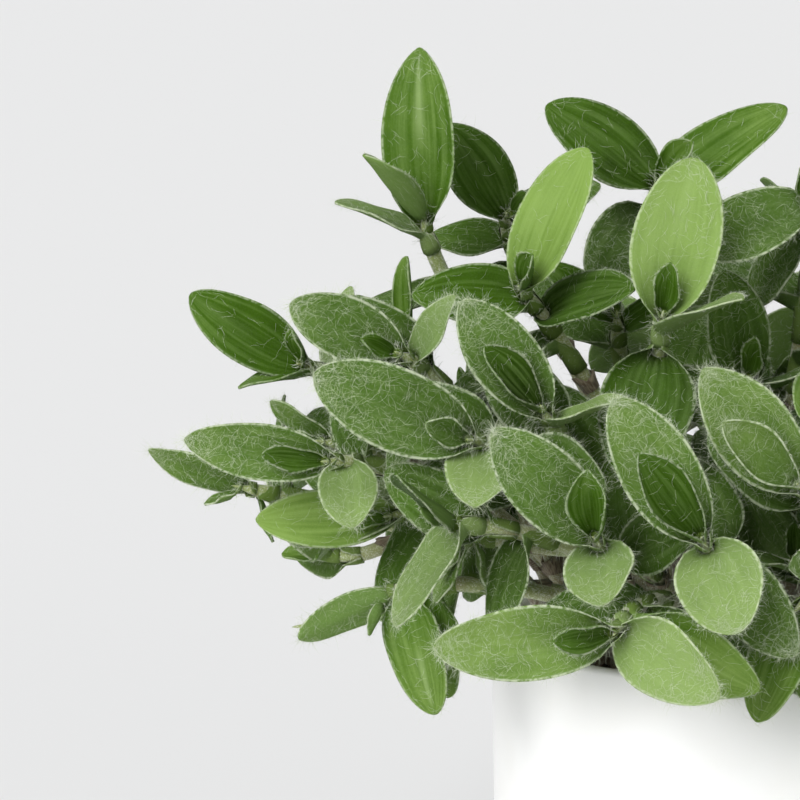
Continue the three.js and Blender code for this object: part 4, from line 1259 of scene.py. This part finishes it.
def fan_faces(ring: int, around: int, middle: int, outward: bool) -> Vec:
    """The triangles between a closed ring of points and one point."""
    j = np.arange(around)
    a, b = ring + j, ring + (j + 1) % around
    tip = np.full(around, middle)
    return np.stack([a, b, tip] if outward else [b, a, tip], -1)


def ring(radius: float, height: Any, sides: int) -> Vec:
    """Points round the pot's axis, at one height or at one for each of them."""
    turn = np.arange(sides) * 2 * math.pi / sides
    return np.stack([radius * np.cos(turn), radius * np.sin(turn), np.full(sides, height)], -1)


class Slot(Enum):
    """The material slots of a leafy stem, by number."""

    LEAF = 0
    STEM = 1
    PAPER = 2


@dataclass
class LeafyStem:
    """One leafy stem with its side shoots: fine blades, sheaths, stems and wool.

    Sizes are in millimetres. The pairs of steps and hairs are for a shoot that the photograph
    doesn't show and for one that it shows. broad, foot_round, open_curl and uncurl are for a leaf
    and for the youngest of a shoot, and foot_curl is the least and the most.
    """

    main: Shoot
    sides: list[Shoot]
    name: str
    middle_thick: float = 1.3
    margin_thick: float = 0.42
    groove: float = 0.7
    wave: float = 0.6
    widest: float = 0.46
    widest_old: float = 0.34
    foot_share: float = 0.55
    foot_old: float = 0.64
    sheath_gap: float = 0.24
    sheath_lengths: tuple[float, ...] = (1.0, 2.4, 4.2, 6.0, 7.5, 8.0, 8.0)
    stem_step: float = 4.0
    stem_sides: int = 10
    stem_foot: float = 8.0
    stem_wool_reach: float = 70.0
    tip_length: float = 0.8
    hair_width: float = 0.075  # real ones are about 0.02 mm: drawn as coarse as they need to show
    collar_step: float = 24.0
    collars_below_leaf: float = 14.0
    collar_clear: float = 6.0
    large_leaf: float = 19.0
    small_steps: tuple[tuple[int, int], ...] = ((10, 7), (14, 9))
    large_steps: tuple[tuple[int, int], ...] = ((13, 8), (20, 11))
    tip_blunt: float = 0.66
    tip_blunt_spread: float = 0.08
    foot_power: float = 2.2
    tip_power: float = 1.9
    broad: tuple[float, float] = (1.03, 1.12)
    foot_round: tuple[float, float] = (2.5, 1.3)
    foot_curl: tuple[float, float] = (1.1, 2.7)
    open_curl: tuple[float, float] = (15, 37)
    uncurl: tuple[float, float] = (0.13, 0.5)
    groove_share: float = 0.13
    rim_reach: float = 0.22
    sheath_thin: float = 0.45
    foot_thin: float = 0.62
    stem_hairs: tuple[float, float] = (2.0, 4.0)
    fringe_hairs: tuple[float, float] = (0.24, 1.0)
    face_hairs: tuple[float, float] = (0.2, 1.0)
    under_hairs: float = 0.5
    face_joints: tuple[int, int] = (3, 4)
    tuft_hairs: tuple[int, int] = (8, 26)
    sheath_stations: tuple[float, ...] = (0.0, 0.3, 0.6, 0.85)
    sheath_along: float = 0.25
    sheath_half: float = 172.0
    tip_radius_share: float = 0.16
    taper_length: float = 8.5
    node_swell: float = 0.15
    node_swell_length: float = 1.3
    first_seed: int = 100

    def __post_init__(self) -> None:
        """Starts its own repeatable draws."""
        self.draw = np.random.default_rng(self.first_seed + self.main.owner)
        self.body = MeshStore()
        self.wool = MeshStore()

    def stem_radius(self, distance: float) -> float:
        """The stem's radius at a distance from its tip, a little swollen at each node."""
        tip = self.tip_radius_share
        taper = tip + (1 - tip) * float(smooth(distance / self.taper_length))
        swell = sum(math.exp(-((distance - node) / self.node_swell_length) ** 2)
                    for node in RULE.nodes_from_tip[3:])
        return RULE.stem_radius * taper + self.node_swell * swell

    def point_back(self, shoot: Shoot, distance: float) -> tuple[Vec, Vec]:
        """The stem's point and direction, going on straight down below its root."""
        extra = distance - shoot.path.length
        if extra > 0 and not shoot.side_of:
            return shoot.path.points[0] - vec(0, 0, extra), vec(0, 0, 1)
        return shoot.path.back(distance)

    def draw_stem(self, shoot: Shoot) -> None:
        """Draws a stem as a tube with a pointed end, and wool on it."""
        below = 0 if shoot.side_of else self.stem_foot
        end = shoot.path.length + below
        marks = np.concatenate([[0.3, 1.5, 3.5], np.linspace(6, end, max(4, int(end / self.stem_step)))])
        e1 = shoot.fan
        points, blade = [], []
        turn = np.arange(self.stem_sides) * 2 * math.pi / self.stem_sides
        for distance in marks:
            at, along = self.point_back(shoot, float(distance))
            e1 = unit(e1 - along * float(e1 @ along))
            e2 = cross(along, e1)
            r = self.stem_radius(float(distance))
            points.append(at + r * (np.cos(turn)[:, None] * e1 + np.sin(turn)[:, None] * e2))
            blade.append(np.stack([turn / math.pi - 1, np.full_like(turn, distance / 150),
                                   np.ones_like(turn)], -1))
        first = self.body.add(np.vstack(points), np.vstack(blade))
        self.body.cover(ring_faces(first, len(marks), self.stem_sides)[:, ::-1], Slot.STEM.value)
        tip_at, tip_along = shoot.path.back(0)
        tip = self.body.add((tip_at + tip_along * self.tip_length)[None], vec(0, 0, 1)[None])
        self.body.cover(fan_faces(first, self.stem_sides, tip, True), Slot.STEM.value)
        self.stem_wool(shoot, end)

    def stem_wool(self, shoot: Shoot, end: float) -> None:
        """Grows long loose hairs on a stem."""
        reach = min(end, self.stem_wool_reach)
        count = int(reach * self.stem_hairs[shoot.seen])
        roots, ways = [], []
        for _ in range(count):
            distance = float(self.draw.uniform(0, reach))
            at, along = self.point_back(shoot, distance)
            out = unit(cross(along, self.draw.normal(size=3)))
            roots.append(at + out * self.stem_radius(distance))
            ways.append(unit(out + along * self.draw.uniform(-0.3, 1.0)))
        if roots:
            lengths = self.draw.uniform(1.2, 3.4, count)
            self.grow_hairs(np.array(roots), np.array(ways), lengths, 2, 0.6)

    def half_width(self, leaf: Leaf, t: Vec) -> Vec:
        """Half of the blade's width, measured round its hollow, at t along it."""
        blunt = self.tip_blunt + self.tip_blunt_spread * math.sin(leaf.length * 7)
        old = leaf.order > 1
        widest, foot = (self.widest_old, self.foot_old) if old else (self.widest, self.foot_share)
        low = 1 - (1 - foot) * (np.maximum(widest - t, 0) / widest) ** self.foot_power
        x = np.clip((t - widest) / (1 - widest), 0, 1)
        broad = leaf.width / 2 * self.broad[leaf.order == 0]
        return broad * np.where(t < widest, low, (1 - x ** self.tip_power) ** blunt)

    def curl(self, leaf: Leaf, t: Vec) -> Vec:
        """Half of the angle that the blade's section curls through: it hugs the stem at its foot."""
        young = leaf.order == 0
        foot = float(np.clip(self.half_width(leaf, vec(0))[0] / self.foot_round[young], *self.foot_curl))
        open_end = math.radians(self.open_curl[young])
        return open_end + (foot - open_end) * np.exp(-t / self.uncurl[young])

    def stations(self, leaf: Leaf, shoot: Shoot, steps: int) -> tuple[Vec, ...]:
        """The sections of a leaf: its sheath round the stem, then its blade.

        Args:
            leaf: The leaf.
            shoot: The shoot that it grows on.
            steps: How many sections the blade has.

        Returns:
            For each section its place along, middle, facing, side, radius and half angle.
        """
        x = np.linspace(0, 1, steps)
        t = np.minimum(0.5 * x + 0.5 * (1 - (1 - x) ** 1.9), 0.996)
        curl = self.curl(leaf, t)
        radius = self.half_width(leaf, t) / curl
        middle, face = leaf.midrib(t), leaf.face(t)
        side = np.tile(leaf.side, (steps, 1))
        node = RULE.nodes_from_tip[leaf.order]
        low = self.sheath_lengths[leaf.order]
        rows = []
        for s in self.sheath_stations:
            distance = node + low * (1 - s)
            centre, along = self.point_back(shoot, distance)
            out = unit(leaf.out - along * float(leaf.out @ along))
            r = self.stem_radius(distance) + self.sheath_gap + 0.35 * s
            k = float(smooth(s))
            back = unit(-out * (1 - k) + face[0] * k)
            across = cross(along, out) * (1 - k) + side[0] * k
            across = unit(across - back * float(across @ back))
            mid = (centre + out * r) * (1 - k) + middle[0] * k
            half = math.radians(self.sheath_half) * (1 - k) + float(curl[0]) * k
            wide = r * (1 - k) + float(radius[0]) * k
            rows.append(((s - 1) * self.sheath_along, mid, back, across, wide, half))
        blade = (t, middle, face, side, radius, curl)
        return tuple(np.concatenate([np.array(sheath), part]) for sheath, part in zip(zip(*rows), blade))

    def thickness(self, along: Vec, across: Vec) -> Vec:
        """The blade's thickness: least at its margins, toward its tip and in its sheath."""
        t = np.clip(along, 0, 1)
        middle = (self.middle_thick - self.margin_thick) * (1 - across[None] ** 2) ** 0.8
        blade = self.foot_thin + (1 - self.foot_thin) * smooth(t * 4)
        share = np.where(along < 0, self.sheath_thin, blade)
        return (self.margin_thick + middle * (1 - 0.55 * t[:, None] ** 2)) * share[:, None]

    def draw_leaf(self, leaf: Leaf, shoot: Shoot, steps: int, across: int) -> None:
        """Draws a leaf with its sheath as one closed skin, and its wool.

        Args:
            leaf: The leaf.
            shoot: The shoot that it grows on.
            steps: How many sections the blade has.
            across: How many points each face of a section has.
        """
        along, middle, face, side, radius, half = self.stations(leaf, shoot, steps)
        look = leaf.look.value
        drift, bend_side = self.draw.uniform(0, 6.28), self.draw.uniform(-0.03, 0.03)
        t = np.clip(along, 0, 1)
        middle = middle + side * (bend_side * leaf.length * t ** 2)[:, None]
        v = np.sin(np.linspace(-1, 1, across) * math.pi / 2 * 0.96) / math.sin(math.pi / 2 * 0.96)
        angle = half[:, None] * v[None]
        inward = face[:, None] * np.cos(angle)[..., None] - side[:, None] * np.sin(angle)[..., None]
        section = (middle[:, None] + side[:, None] * (radius[:, None] * np.sin(angle))[..., None]
                   + face[:, None] * (radius[:, None] * (1 - np.cos(angle)))[..., None])
        fold = smooth(t * 4) * smooth((1 - t) * 2.2)
        section = section - face[:, None] * (self.groove * fold[:, None]
                                             * np.exp(-(v[None] / self.groove_share) ** 2))[..., None]
        ripple = self.wave * (t * (1 - t) * 4)[:, None] * np.sin(2.4 * math.pi * t[:, None] + drift
                                                                + 1.3 * np.sign(v[None])) * v[None] ** 4
        section = section + inward * ripple[..., None]
        thick = self.thickness(along, v)
        upper = section + inward * (thick / 2)[..., None]
        lower = section - inward * (thick / 2)[..., None]
        rim_r = section[:, -1] + unit(section[:, -1] - section[:, -2]) * self.rim_reach
        rim_l = section[:, 0] + unit(section[:, 0] - section[:, 1]) * self.rim_reach
        loop = np.concatenate([upper, rim_r[:, None], lower[:, ::-1], rim_l[:, None]], axis=1)
        around = loop.shape[1]
        u = np.concatenate([v, [1.0], v[::-1], [-1.0]])
        top = np.concatenate([np.ones(across), [0.5], np.zeros(across), [0.5]])
        rows = len(along)
        blade = np.stack([np.tile(u, (rows, 1)), np.tile(along[:, None], (1, around)),
                          np.tile(top, (rows, 1))], -1)
        tone = (look.wool, look.stripe_and_sheen, leaf.light, look.felt)
        first = self.body.add(loop.reshape(-1, 3), blade.reshape(-1, 3), tone)
        self.body.cover(ring_faces(first, rows, around)[:, ::-1], Slot.LEAF.value)
        tip_place = leaf.midrib(1.0) + side[-1] * bend_side * leaf.length
        tip = self.body.add(tip_place[None], vec(0, 1, 0.5)[None], tone)
        last = first + (rows - 1) * around
        self.body.cover(fan_faces(last, around, tip, False), Slot.LEAF.value)
        self.close_sheath(first, across)
        self.leaf_wool(leaf, shoot, upper, lower, inward, side)

    def close_sheath(self, first: int, across: int) -> None:
        """Closes the lower end of a sheath between its two faces."""
        around = 2 * across + 2
        j = np.arange(across - 1)
        strip = np.stack([first + j, first + j + 1, first + around - 3 - j, first + around - 2 - j], -1)
        self.body.cover(strip, Slot.LEAF.value)
        ends = [[first + across - 1, first + across, first + across + 1],
                [first, first + around - 2, first + around - 1]]
        self.body.cover(np.array(ends), Slot.LEAF.value)

    def fringe(self, leaf: Leaf, thin: float, upper: Vec, lower: Vec) -> None:
        """Grows the fringe of short hairs on a leaf's margin.

        Args:
            leaf: The leaf.
            thin: What share of the hairs to grow.
            upper: The upper face's points, by section and place across.
            lower: The same for the lower face.
        """
        rows, across = upper.shape[:2]
        count = int(2 * leaf.length * leaf.look.value.fringe * thin)
        x = self.draw.uniform(3.0, rows - 1.001, count)
        i = x.astype(int)
        right = self.draw.random(count) < 0.5
        edge = np.where(right, across - 1, 0)
        inner = np.where(right, across - 2, 1)
        base = (upper[i, edge] + lower[i, edge]) / 2
        ahead = (upper[i + 1, edge] + lower[i + 1, edge]) / 2
        outward = unit(base - (upper[i, inner] + lower[i, inner]) / 2)
        onward = unit(ahead - base)
        spread = self.draw.normal(size=(count, 3)) * 0.4
        ways = unit(outward + onward * self.draw.uniform(-0.1, 1.0, (count, 1)) + spread)
        lengths = self.draw.gamma(3.0, 0.27, count).clip(0.3, 2.0)
        self.grow_hairs(base + (ahead - base) * (x - i)[:, None], ways, lengths, 2, 0.4, wide=0.75)

    def pelt(self, leaf: Leaf, count: int, joints: int, skin: Vec, normals: Vec, side: Vec) -> None:
        """Grows curly hairs that lie on one face of a leaf.

        Args:
            leaf: The leaf; not used.
            count: How many.
            joints: How many straight stretches each has.
            skin: The face's points, by section and place across.
            normals: The way that the face looks, at each.
            side: Each section's sideways direction.
        """
        rows, across = skin.shape[:2]
        x = self.draw.uniform(3.0, rows - 1.2, count)
        y = self.draw.uniform(0.07, 0.93, count) * (across - 1)
        i, j = x.astype(int), y.astype(int)
        roots = (skin[i, j] + (skin[i + 1, j] - skin[i, j]) * (x - i)[:, None]
                 + (skin[i, j + 1] - skin[i, j]) * (y - j)[:, None])
        turn = self.draw.uniform(-math.pi, math.pi, (count, 1))
        onward = unit(skin[i + 1, j] - skin[i, j])
        flat = side[i] * np.sin(turn) + onward * (0.55 + np.cos(turn))
        ways = unit(unit(flat) + normals[i, j] * self.draw.uniform(0.15, 0.5, (count, 1)))
        lengths = self.draw.uniform(1.8, 5.6, count)
        self.grow_hairs(roots, ways, lengths, joints, 0.4, normals[i, j], 0.62)

    def leaf_wool(self, leaf: Leaf, shoot: Shoot, upper: Vec, lower: Vec, inward: Vec, side: Vec) -> None:
        """Grows a leaf's fringe, the hairs on both its faces and the tuft at its sheath.

        Args:
            leaf: The leaf.
            shoot: The shoot that it grows on.
            upper: The upper face's points, by section and place across.
            lower: The same for the lower face.
            inward: The direction that the upper face looks, at each point.
            side: Each section's sideways direction.
        """
        self.fringe(leaf, self.fringe_hairs[shoot.seen], upper, lower)
        area = leaf.length * leaf.width * 0.75 / 100
        joints = self.face_joints[shoot.seen]
        hairs = area * leaf.look.value.hairs * self.face_hairs[shoot.seen]
        self.pelt(leaf, int(hairs), joints, upper, inward, side)
        self.pelt(leaf, int(hairs * self.under_hairs), joints, lower, -inward, side)
        count = self.tuft_hairs[shoot.seen]
        i = self.draw.integers(0, 4, count)
        j = self.draw.integers(0, lower.shape[1], count)
        away_from_stem = -inward[i, j]
        upward = unit(lower[i + 1, j] - lower[i, j])
        ways = unit(away_from_stem + upward * self.draw.uniform(0.0, 1.6, (count, 1)))
        self.grow_hairs(lower[i, j], ways, self.draw.uniform(1.5, 4.0, count), 3, 0.7)

    def grow_hairs(self, roots: Vec, ways: Vec, lengths: Vec, joints: int, curl: float,
                   normals: Optional[Vec] = None, wide: float = 1.0) -> None:
        """Adds hairs as thin tapered ribbons that curl.

        Args:
            roots: Where each starts.
            ways: The way that each starts.
            lengths: How long each is.
            joints: How many straight stretches a hair has.
            curl: How much it turns at each joint.
            normals: For hairs that lie on a face, the way that it looks at each root.
            wide: Their width over the usual one.
        """
        count = len(roots)
        if not count:
            return
        lying = normals is not None
        pole = normals if lying else unit(np.cross(ways, self.draw.normal(size=(count, 3))))
        sign = np.where(self.draw.random(count) < 0.5, 1.0, -1.0)[:, None]
        at, way = roots - ways * 0.12, ways
        rows, places = [], []
        for k in range(joints):
            flat = unit(np.cross(way, pole))
            width = self.hair_width * wide * (1 - 0.5 * k / joints) / 2
            rows += [at - flat * width, at + flat * width]
            places += [k / joints] * 2
            at = at + way * (lengths / joints)[:, None]
            swing = self.draw.uniform(0.3, 1.3, (count, 1)) * sign * curl
            sign = np.where(self.draw.random((count, 1)) < 0.4, -sign, sign)
            way = unit(way + flat * swing - (pole * 0.16 if lying else 0))
        rows.append(at)
        places.append(1.0)
        size = 2 * joints + 1
        points = np.stack(rows, axis=1).reshape(-1, 3)
        blade = np.tile(np.array([[float(lying), p, 1] for p in places]), (count, 1))
        first = self.wool.add(points, blade)
        start = first + np.arange(count) * size
        for k in range(joints - 1):
            a = start + 2 * k
            self.wool.cover(np.stack([a, a + 1, a + 3, a + 2], -1))
        a = start + 2 * (joints - 1)
        self.wool.cover(np.stack([a, a + 1, a + 2], -1))

    def draw_collars(self, shoot: Shoot) -> None:
        """Draws the dry remains of old leaf sheaths on the bare lower stem."""
        lowest = max([RULE.nodes_from_tip[leaf.order] for leaf in shoot.grown], default=0)
        end = shoot.path.length - self.collar_clear
        distance = lowest + self.collars_below_leaf
        turn = np.arange(self.stem_sides) * 2 * math.pi / self.stem_sides
        while distance < end:
            clear = all(abs(distance - fork) > self.collar_clear for fork, _ in shoot.forks)
            if clear:
                self.draw_collar(shoot, distance, turn)
            distance += self.collar_step * float(self.draw.uniform(0.8, 1.2))

    def draw_collar(self, shoot: Shoot, distance: float, turn: Vec) -> None:
        """Draws one papery collar with a ragged upper edge."""
        rows, blade = [], []
        ragged = self.draw.uniform(0.5, 1.0, len(turn))
        tall = float(self.draw.uniform(4.0, 7.5))
        layers = ((0.0, 0.25), (0.5, 0.55), (1.0, 1.1), (1.0, 0.85), (0.5, 0.3), (0.0, 0.05))
        e1 = shoot.fan
        for up, gap in layers:
            points = []
            for k, a in enumerate(turn):
                at, along = self.point_back(shoot, distance - tall * up * ragged[k])
                e = unit(e1 - along * float(e1 @ along))
                f = cross(along, e)
                r = self.stem_radius(distance) + gap
                points.append(at + (e * math.cos(a) + f * math.sin(a)) * r)
            rows.append(np.array(points))
            blade.append(np.stack([turn / math.pi - 1, np.full_like(turn, up),
                                   np.full_like(turn, 1.0)], -1))
        first = self.body.add(np.vstack(rows), np.vstack(blade))
        self.body.cover(ring_faces(first, len(layers), len(turn)), Slot.PAPER.value)

    def dress(self, materials: list[bpy.types.Material], wool: bpy.types.Material) -> int:
        """Builds the two pieces of this leafy stem.

        Args:
            materials: Leaf, stem and papery sheath.
            wool: The hairs' material.

        Returns:
            How many triangles they have.
        """
        for shoot in [self.main, *self.sides]:
            self.draw_stem(shoot)
            self.draw_collars(shoot)
            for leaf in shoot.grown:
                steps = self.large_steps if leaf.length > self.large_leaf else self.small_steps
                self.draw_leaf(leaf, shoot, *steps[shoot.seen])
        body = self.body.build(f"{self.name}_leaves", materials)
        hairs = self.wool.build(f"{self.name}_wool", [wool])
        for piece in (body, hairs):
            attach(piece, "root")
        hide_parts(self.name)
        return self.body.triangles() + self.wool.triangles()


def choose_looks(plant: Plant) -> None:
    """Gives every leaf its look: from its row, or by its age where the photograph shows none."""
    draw = np.random.default_rng(5)
    middle_looks = (LeafLook.VELVET, LeafLook.VELVET, LeafLook.SMOOTH, LeafLook.RAYED, LeafLook.VELVET)
    outer_looks = (LeafLook.FELT, LeafLook.VELVET, LeafLook.SMOOTH, LeafLook.DARK, LeafLook.VELVET)
    for shoot in plant.shoots:
        for leaf in shoot.grown:
            pick, light = int(draw.integers(0, 5)), float(draw.uniform(0.25, 0.75))
            if shoot.row:
                marks = shoot.row.looks.split()
                letter, digit = marks[min(leaf.order, len(marks) - 1)]
                leaf.look, leaf.light = LOOK_LETTERS[letter], int(digit) / 9
            elif leaf.order == 0:
                leaf.look, leaf.light = LeafLook.CUP, light
            elif leaf.order == 1:
                leaf.look, leaf.light = middle_looks[pick], light
            else:
                leaf.look, leaf.light = outer_looks[pick], light - 0.1


@dataclass
class Pot:
    """The round glazed pot, with a rounded rim and foot. Sizes are in millimetres."""

    floor_thick: float = 5.0
    rim_round: float = 1.6
    foot_round: float = 2.0
    foot_hollow: float = 0.6
    foot_ring: tuple[float, float] = (0.86, 0.9)
    sides: int = 144

    def outline(self) -> list[tuple[float, float]]:
        """The wall's outline, from the middle of the foot round to the middle of the floor."""
        top, half = RULE.pot_height, RULE.pot_wall / 2
        outer, inner = RULE.wall_radius, lambda z: RULE.wall_radius(z) - RULE.pot_wall
        foot, low, edge = RULE.foot_radius, self.foot_round, self.rim_round
        ring_in, ring_out = self.foot_ring
        line = [(0.0, self.foot_hollow), (foot * ring_in, self.foot_hollow), (foot * ring_out, 0.0),
                (foot - low, 0.0)]
        for a in np.radians((30, 60, 90)):
            line.append((foot - low + low * math.sin(a), low * (1 - math.cos(a))))
        line += [(outer(z), z) for z in (8, 25, 50, 75, 100)]
        for a in np.radians(range(0, 181, 30)):
            line.append((outer(top) - half + half * math.cos(a), top - edge + edge * math.sin(a)))
        line += [(inner(z), z) for z in (100, 60, 20, self.floor_thick + 3)]
        line += [(inner(self.floor_thick) - 3, self.floor_thick), (0.0, self.floor_thick)]
        return line

    def dress(self, glaze: bpy.types.Material) -> int:
        """Builds the pot and returns how many triangles it has."""
        store = MeshStore()
        line = self.outline()
        rows = [ring(r, z, self.sides) for r, z in line[1:-1]]
        store.enclose(rows, vec(0, 0, line[0][1]), vec(0, 0, line[-1][1]))
        piece = store.build("glazed_pot", [glaze])
        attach(piece, "root")
        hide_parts("pot")
        return store.triangles()


@dataclass
class Soil:
    """The potting soil: an uneven crumbly top, with crumbs lying on it."""

    gap: float = 0.5
    lumps: float = 1.3
    bottom: float = 8.0
    rings: int = 34
    sides: int = 120
    crumbs: int = 900

    def height(self, x: Vec, y: Vec) -> Vec:
        """The uneven height of the soil's top over its level."""
        # The waves are in radians a millimetre, all unalike, so that the soil shows no rows.
        wide = np.sin(x * 0.21 + 1.3) * np.cos(y * 0.18 - 0.4) + np.sin(x * 0.09 - y * 0.13)
        fine = np.sin(x * 1.1 + 2 * np.sin(y * 0.7)) * np.sin(y * 1.3 + 1.7 * np.sin(x * 0.9))
        return self.lumps * (0.45 * wide + 0.35 * fine) - 0.6

    def dress(self, peat: bpy.types.Material) -> int:
        """Builds the soil and returns how many triangles it has."""
        store = MeshStore()
        reach = RULE.wall_radius(RULE.soil_top) - RULE.pot_wall - self.gap
        rows = [ring(reach - 1.0, self.bottom, self.sides),
                ring(reach - 0.3, self.bottom + 0.5, self.sides)]
        for radius in np.linspace(reach, 1.5, self.rings):
            row = ring(radius, RULE.soil_top, self.sides)
            row[:, 2] += self.height(row[:, 0], row[:, 1])
            rows.append(row)
        top = RULE.soil_top + float(self.height(vec(0), vec(0))[0])
        store.enclose(rows, vec(0, 0, self.bottom), vec(0, 0, top))
        self.scatter(store, reach)
        piece = store.build("crumbly_potting_soil", [peat])
        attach(piece, "root")
        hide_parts("potting_soil")
        return store.triangles()

    def scatter(self, store: MeshStore, reach: float) -> None:
        """Lays crumbs on the soil: small eight-sided lumps, sunk in a little."""
        draw = np.random.default_rng(3)
        corners = np.array([[1, 0, 0], [0, 1, 0], [-1, 0, 0], [0, -1, 0], [0, 0, 1], [0, 0, -1]], float)
        faces = np.array([[0, 1, 4], [1, 2, 4], [2, 3, 4], [3, 0, 4],
                          [1, 0, 5], [2, 1, 5], [3, 2, 5], [0, 3, 5]])
        for _ in range(self.crumbs):
            a, r = draw.uniform(0, 2 * math.pi), (reach - 3) * math.sqrt(draw.random())
            at = vec(r * math.cos(a), r * math.sin(a), 0)
            at[2] = RULE.soil_top + float(self.height(at[:1], at[1:2])[0]) + 0.2
            size = draw.uniform(0.5, 1.5) * draw.uniform(0.6, 1.4, 3)
            lump = corners * size * draw.uniform(0.75, 1.2, (6, 1))
            roll = draw.uniform(0, math.pi)
            spun = np.stack([lump[:, 0] * math.cos(roll) - lump[:, 1] * math.sin(roll),
                             lump[:, 0] * math.sin(roll) + lump[:, 1] * math.cos(roll), lump[:, 2]], -1)
            store.cover(faces + store.add(at + spun))


@dataclass
class Studio:
    """The camera at the photograph's angle, the pale floor and the soft lights. In millimetres."""

    pixel: float = 0.27
    picture: int = 800
    pot_axis_pixel: float = 733.0
    rim_pixel: float = 625.0
    elevation: float = 10.0
    distance: float = 1100.0
    sensor: float = 36.0
    floor_rings: tuple[float, ...] = (9000.0, 2500.0, 900.0, 300.0, 100.0)
    floor_sides: int = 96
    middle: tuple[float, float, float] = (0, 0, 150)
    sky: str = "f4f5f6"
    surround: float = 0.47
    key: float = 2.85
    back: float = 0.35
    fill: float = 0.7

    def dress(self) -> None:
        """Adds the floor, the lights, the world and the camera."""
        self.add_floor()
        self.add_lights()
        self.add_camera()

    def add_floor(self) -> None:
        """Adds the pale floor."""
        store = MeshStore()
        rows = [ring(radius, 0.0, self.floor_sides) for radius in self.floor_rings]
        store.enclose(rows, None, vec(0, 0, 0))
        floor = store.build("studio_floor", [StudioPaper().make()])

    def add_lights(self) -> None:
        """Adds the pale surroundings, a wide soft key from the upper left and a gentle back light."""
        world = bpy.data.worlds.new("pale_studio")
        sketch = Sketch(world)
        sketch.put("world", sketch.put("glow", linear(self.sky), self.surround))
        bpy.context.scene.world = world
        self.add_light("key_light", (-620, -900, 880), self.key, 40)
        self.add_light("back_light", (700, 900, 900), self.back, 60)
        self.add_light("fill_light", (500, -1000, 170), self.fill, 50)

    def add_light(self, name: str, place: tuple[float, float, float], power: float, wide: float) -> None:
        """Adds one far soft light that shines from a place toward the plant.

        Args:
            name: Its name.
            place: The way that it comes from.
            power: Its strength.
            wide: How wide it looks from the plant, in degrees.
        """
        lamp = bpy.data.lights.new(name, "SUN")
        lamp.energy = power
        lamp.angle = math.radians(wide)
        light = bpy.data.objects.new(name, lamp)
        self.point(light, vec(*place), vec(*self.middle))
        bpy.context.scene.collection.objects.link(light)

    def add_camera(self) -> None:
        """Adds the camera, at the photograph's viewing angle and framing."""
        tilt = math.radians(self.elevation)
        half = self.picture / 2
        target = vec((half - self.pot_axis_pixel) * self.pixel, 0,
                     RULE.pot_height + (self.rim_pixel - half) * self.pixel / math.cos(tilt))
        place = target + vec(0, -math.cos(tilt), math.sin(tilt)) * self.distance
        lens = bpy.data.cameras.new("photograph_camera")
        lens.sensor_width = self.sensor
        lens.lens = self.sensor * self.distance / (self.picture * self.pixel)
        lens.clip_end = 100.0
        camera = bpy.data.objects.new("photograph_camera", lens)
        self.point(camera, place, target)
        bpy.context.scene.collection.objects.link(camera)
        bpy.context.scene.camera = camera

    def point(self, thing: bpy.types.Object, place: Vec, target: Vec) -> None:
        """Stands a camera or a light at a place and turns it to a target."""
        thing.location = Vector(place * MM)
        thing.rotation_euler = Vector((target - place).tolist()).to_track_quat("-Z", "Y").to_euler()


def main() -> None:
    """Builds every piece in order and reports each."""
    logging.basicConfig(level=logging.INFO, format="%(message)s")
    bpy.context.scene.view_settings.view_transform = "Standard"
    Studio().dress()
    log.info("pot: %d triangles", Pot().dress(WhiteGlaze().make()))
    log.info("soil: %d triangles", Soil().dress(PeatSoil().make()))
    plant = Plant()
    choose_looks(plant)
    log.info("grown: %d shoots, %d leaves", len(plant.shoots), sum(len(s.grown) for s in plant.shoots))
    materials = [VelvetLeaf().make(), HairyStem().make(), DrySheath().make()]
    wool = LeafWool().make()
    total = 0
    for i, shoot in enumerate(plant.mains):
        sides = [s for s in plant.shoots if s.side_of == shoot.name]
        stem = LeafyStem(shoot, sides, f"leafy_stem_{i + 1:02d}")
        count = stem.dress(materials, wool)
        total += count
        log.info("%s: %d triangles", stem.name, count)
    log.info("all leafy stems: %d triangles", total)
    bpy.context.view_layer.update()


if __name__ == "__main__":
    main()
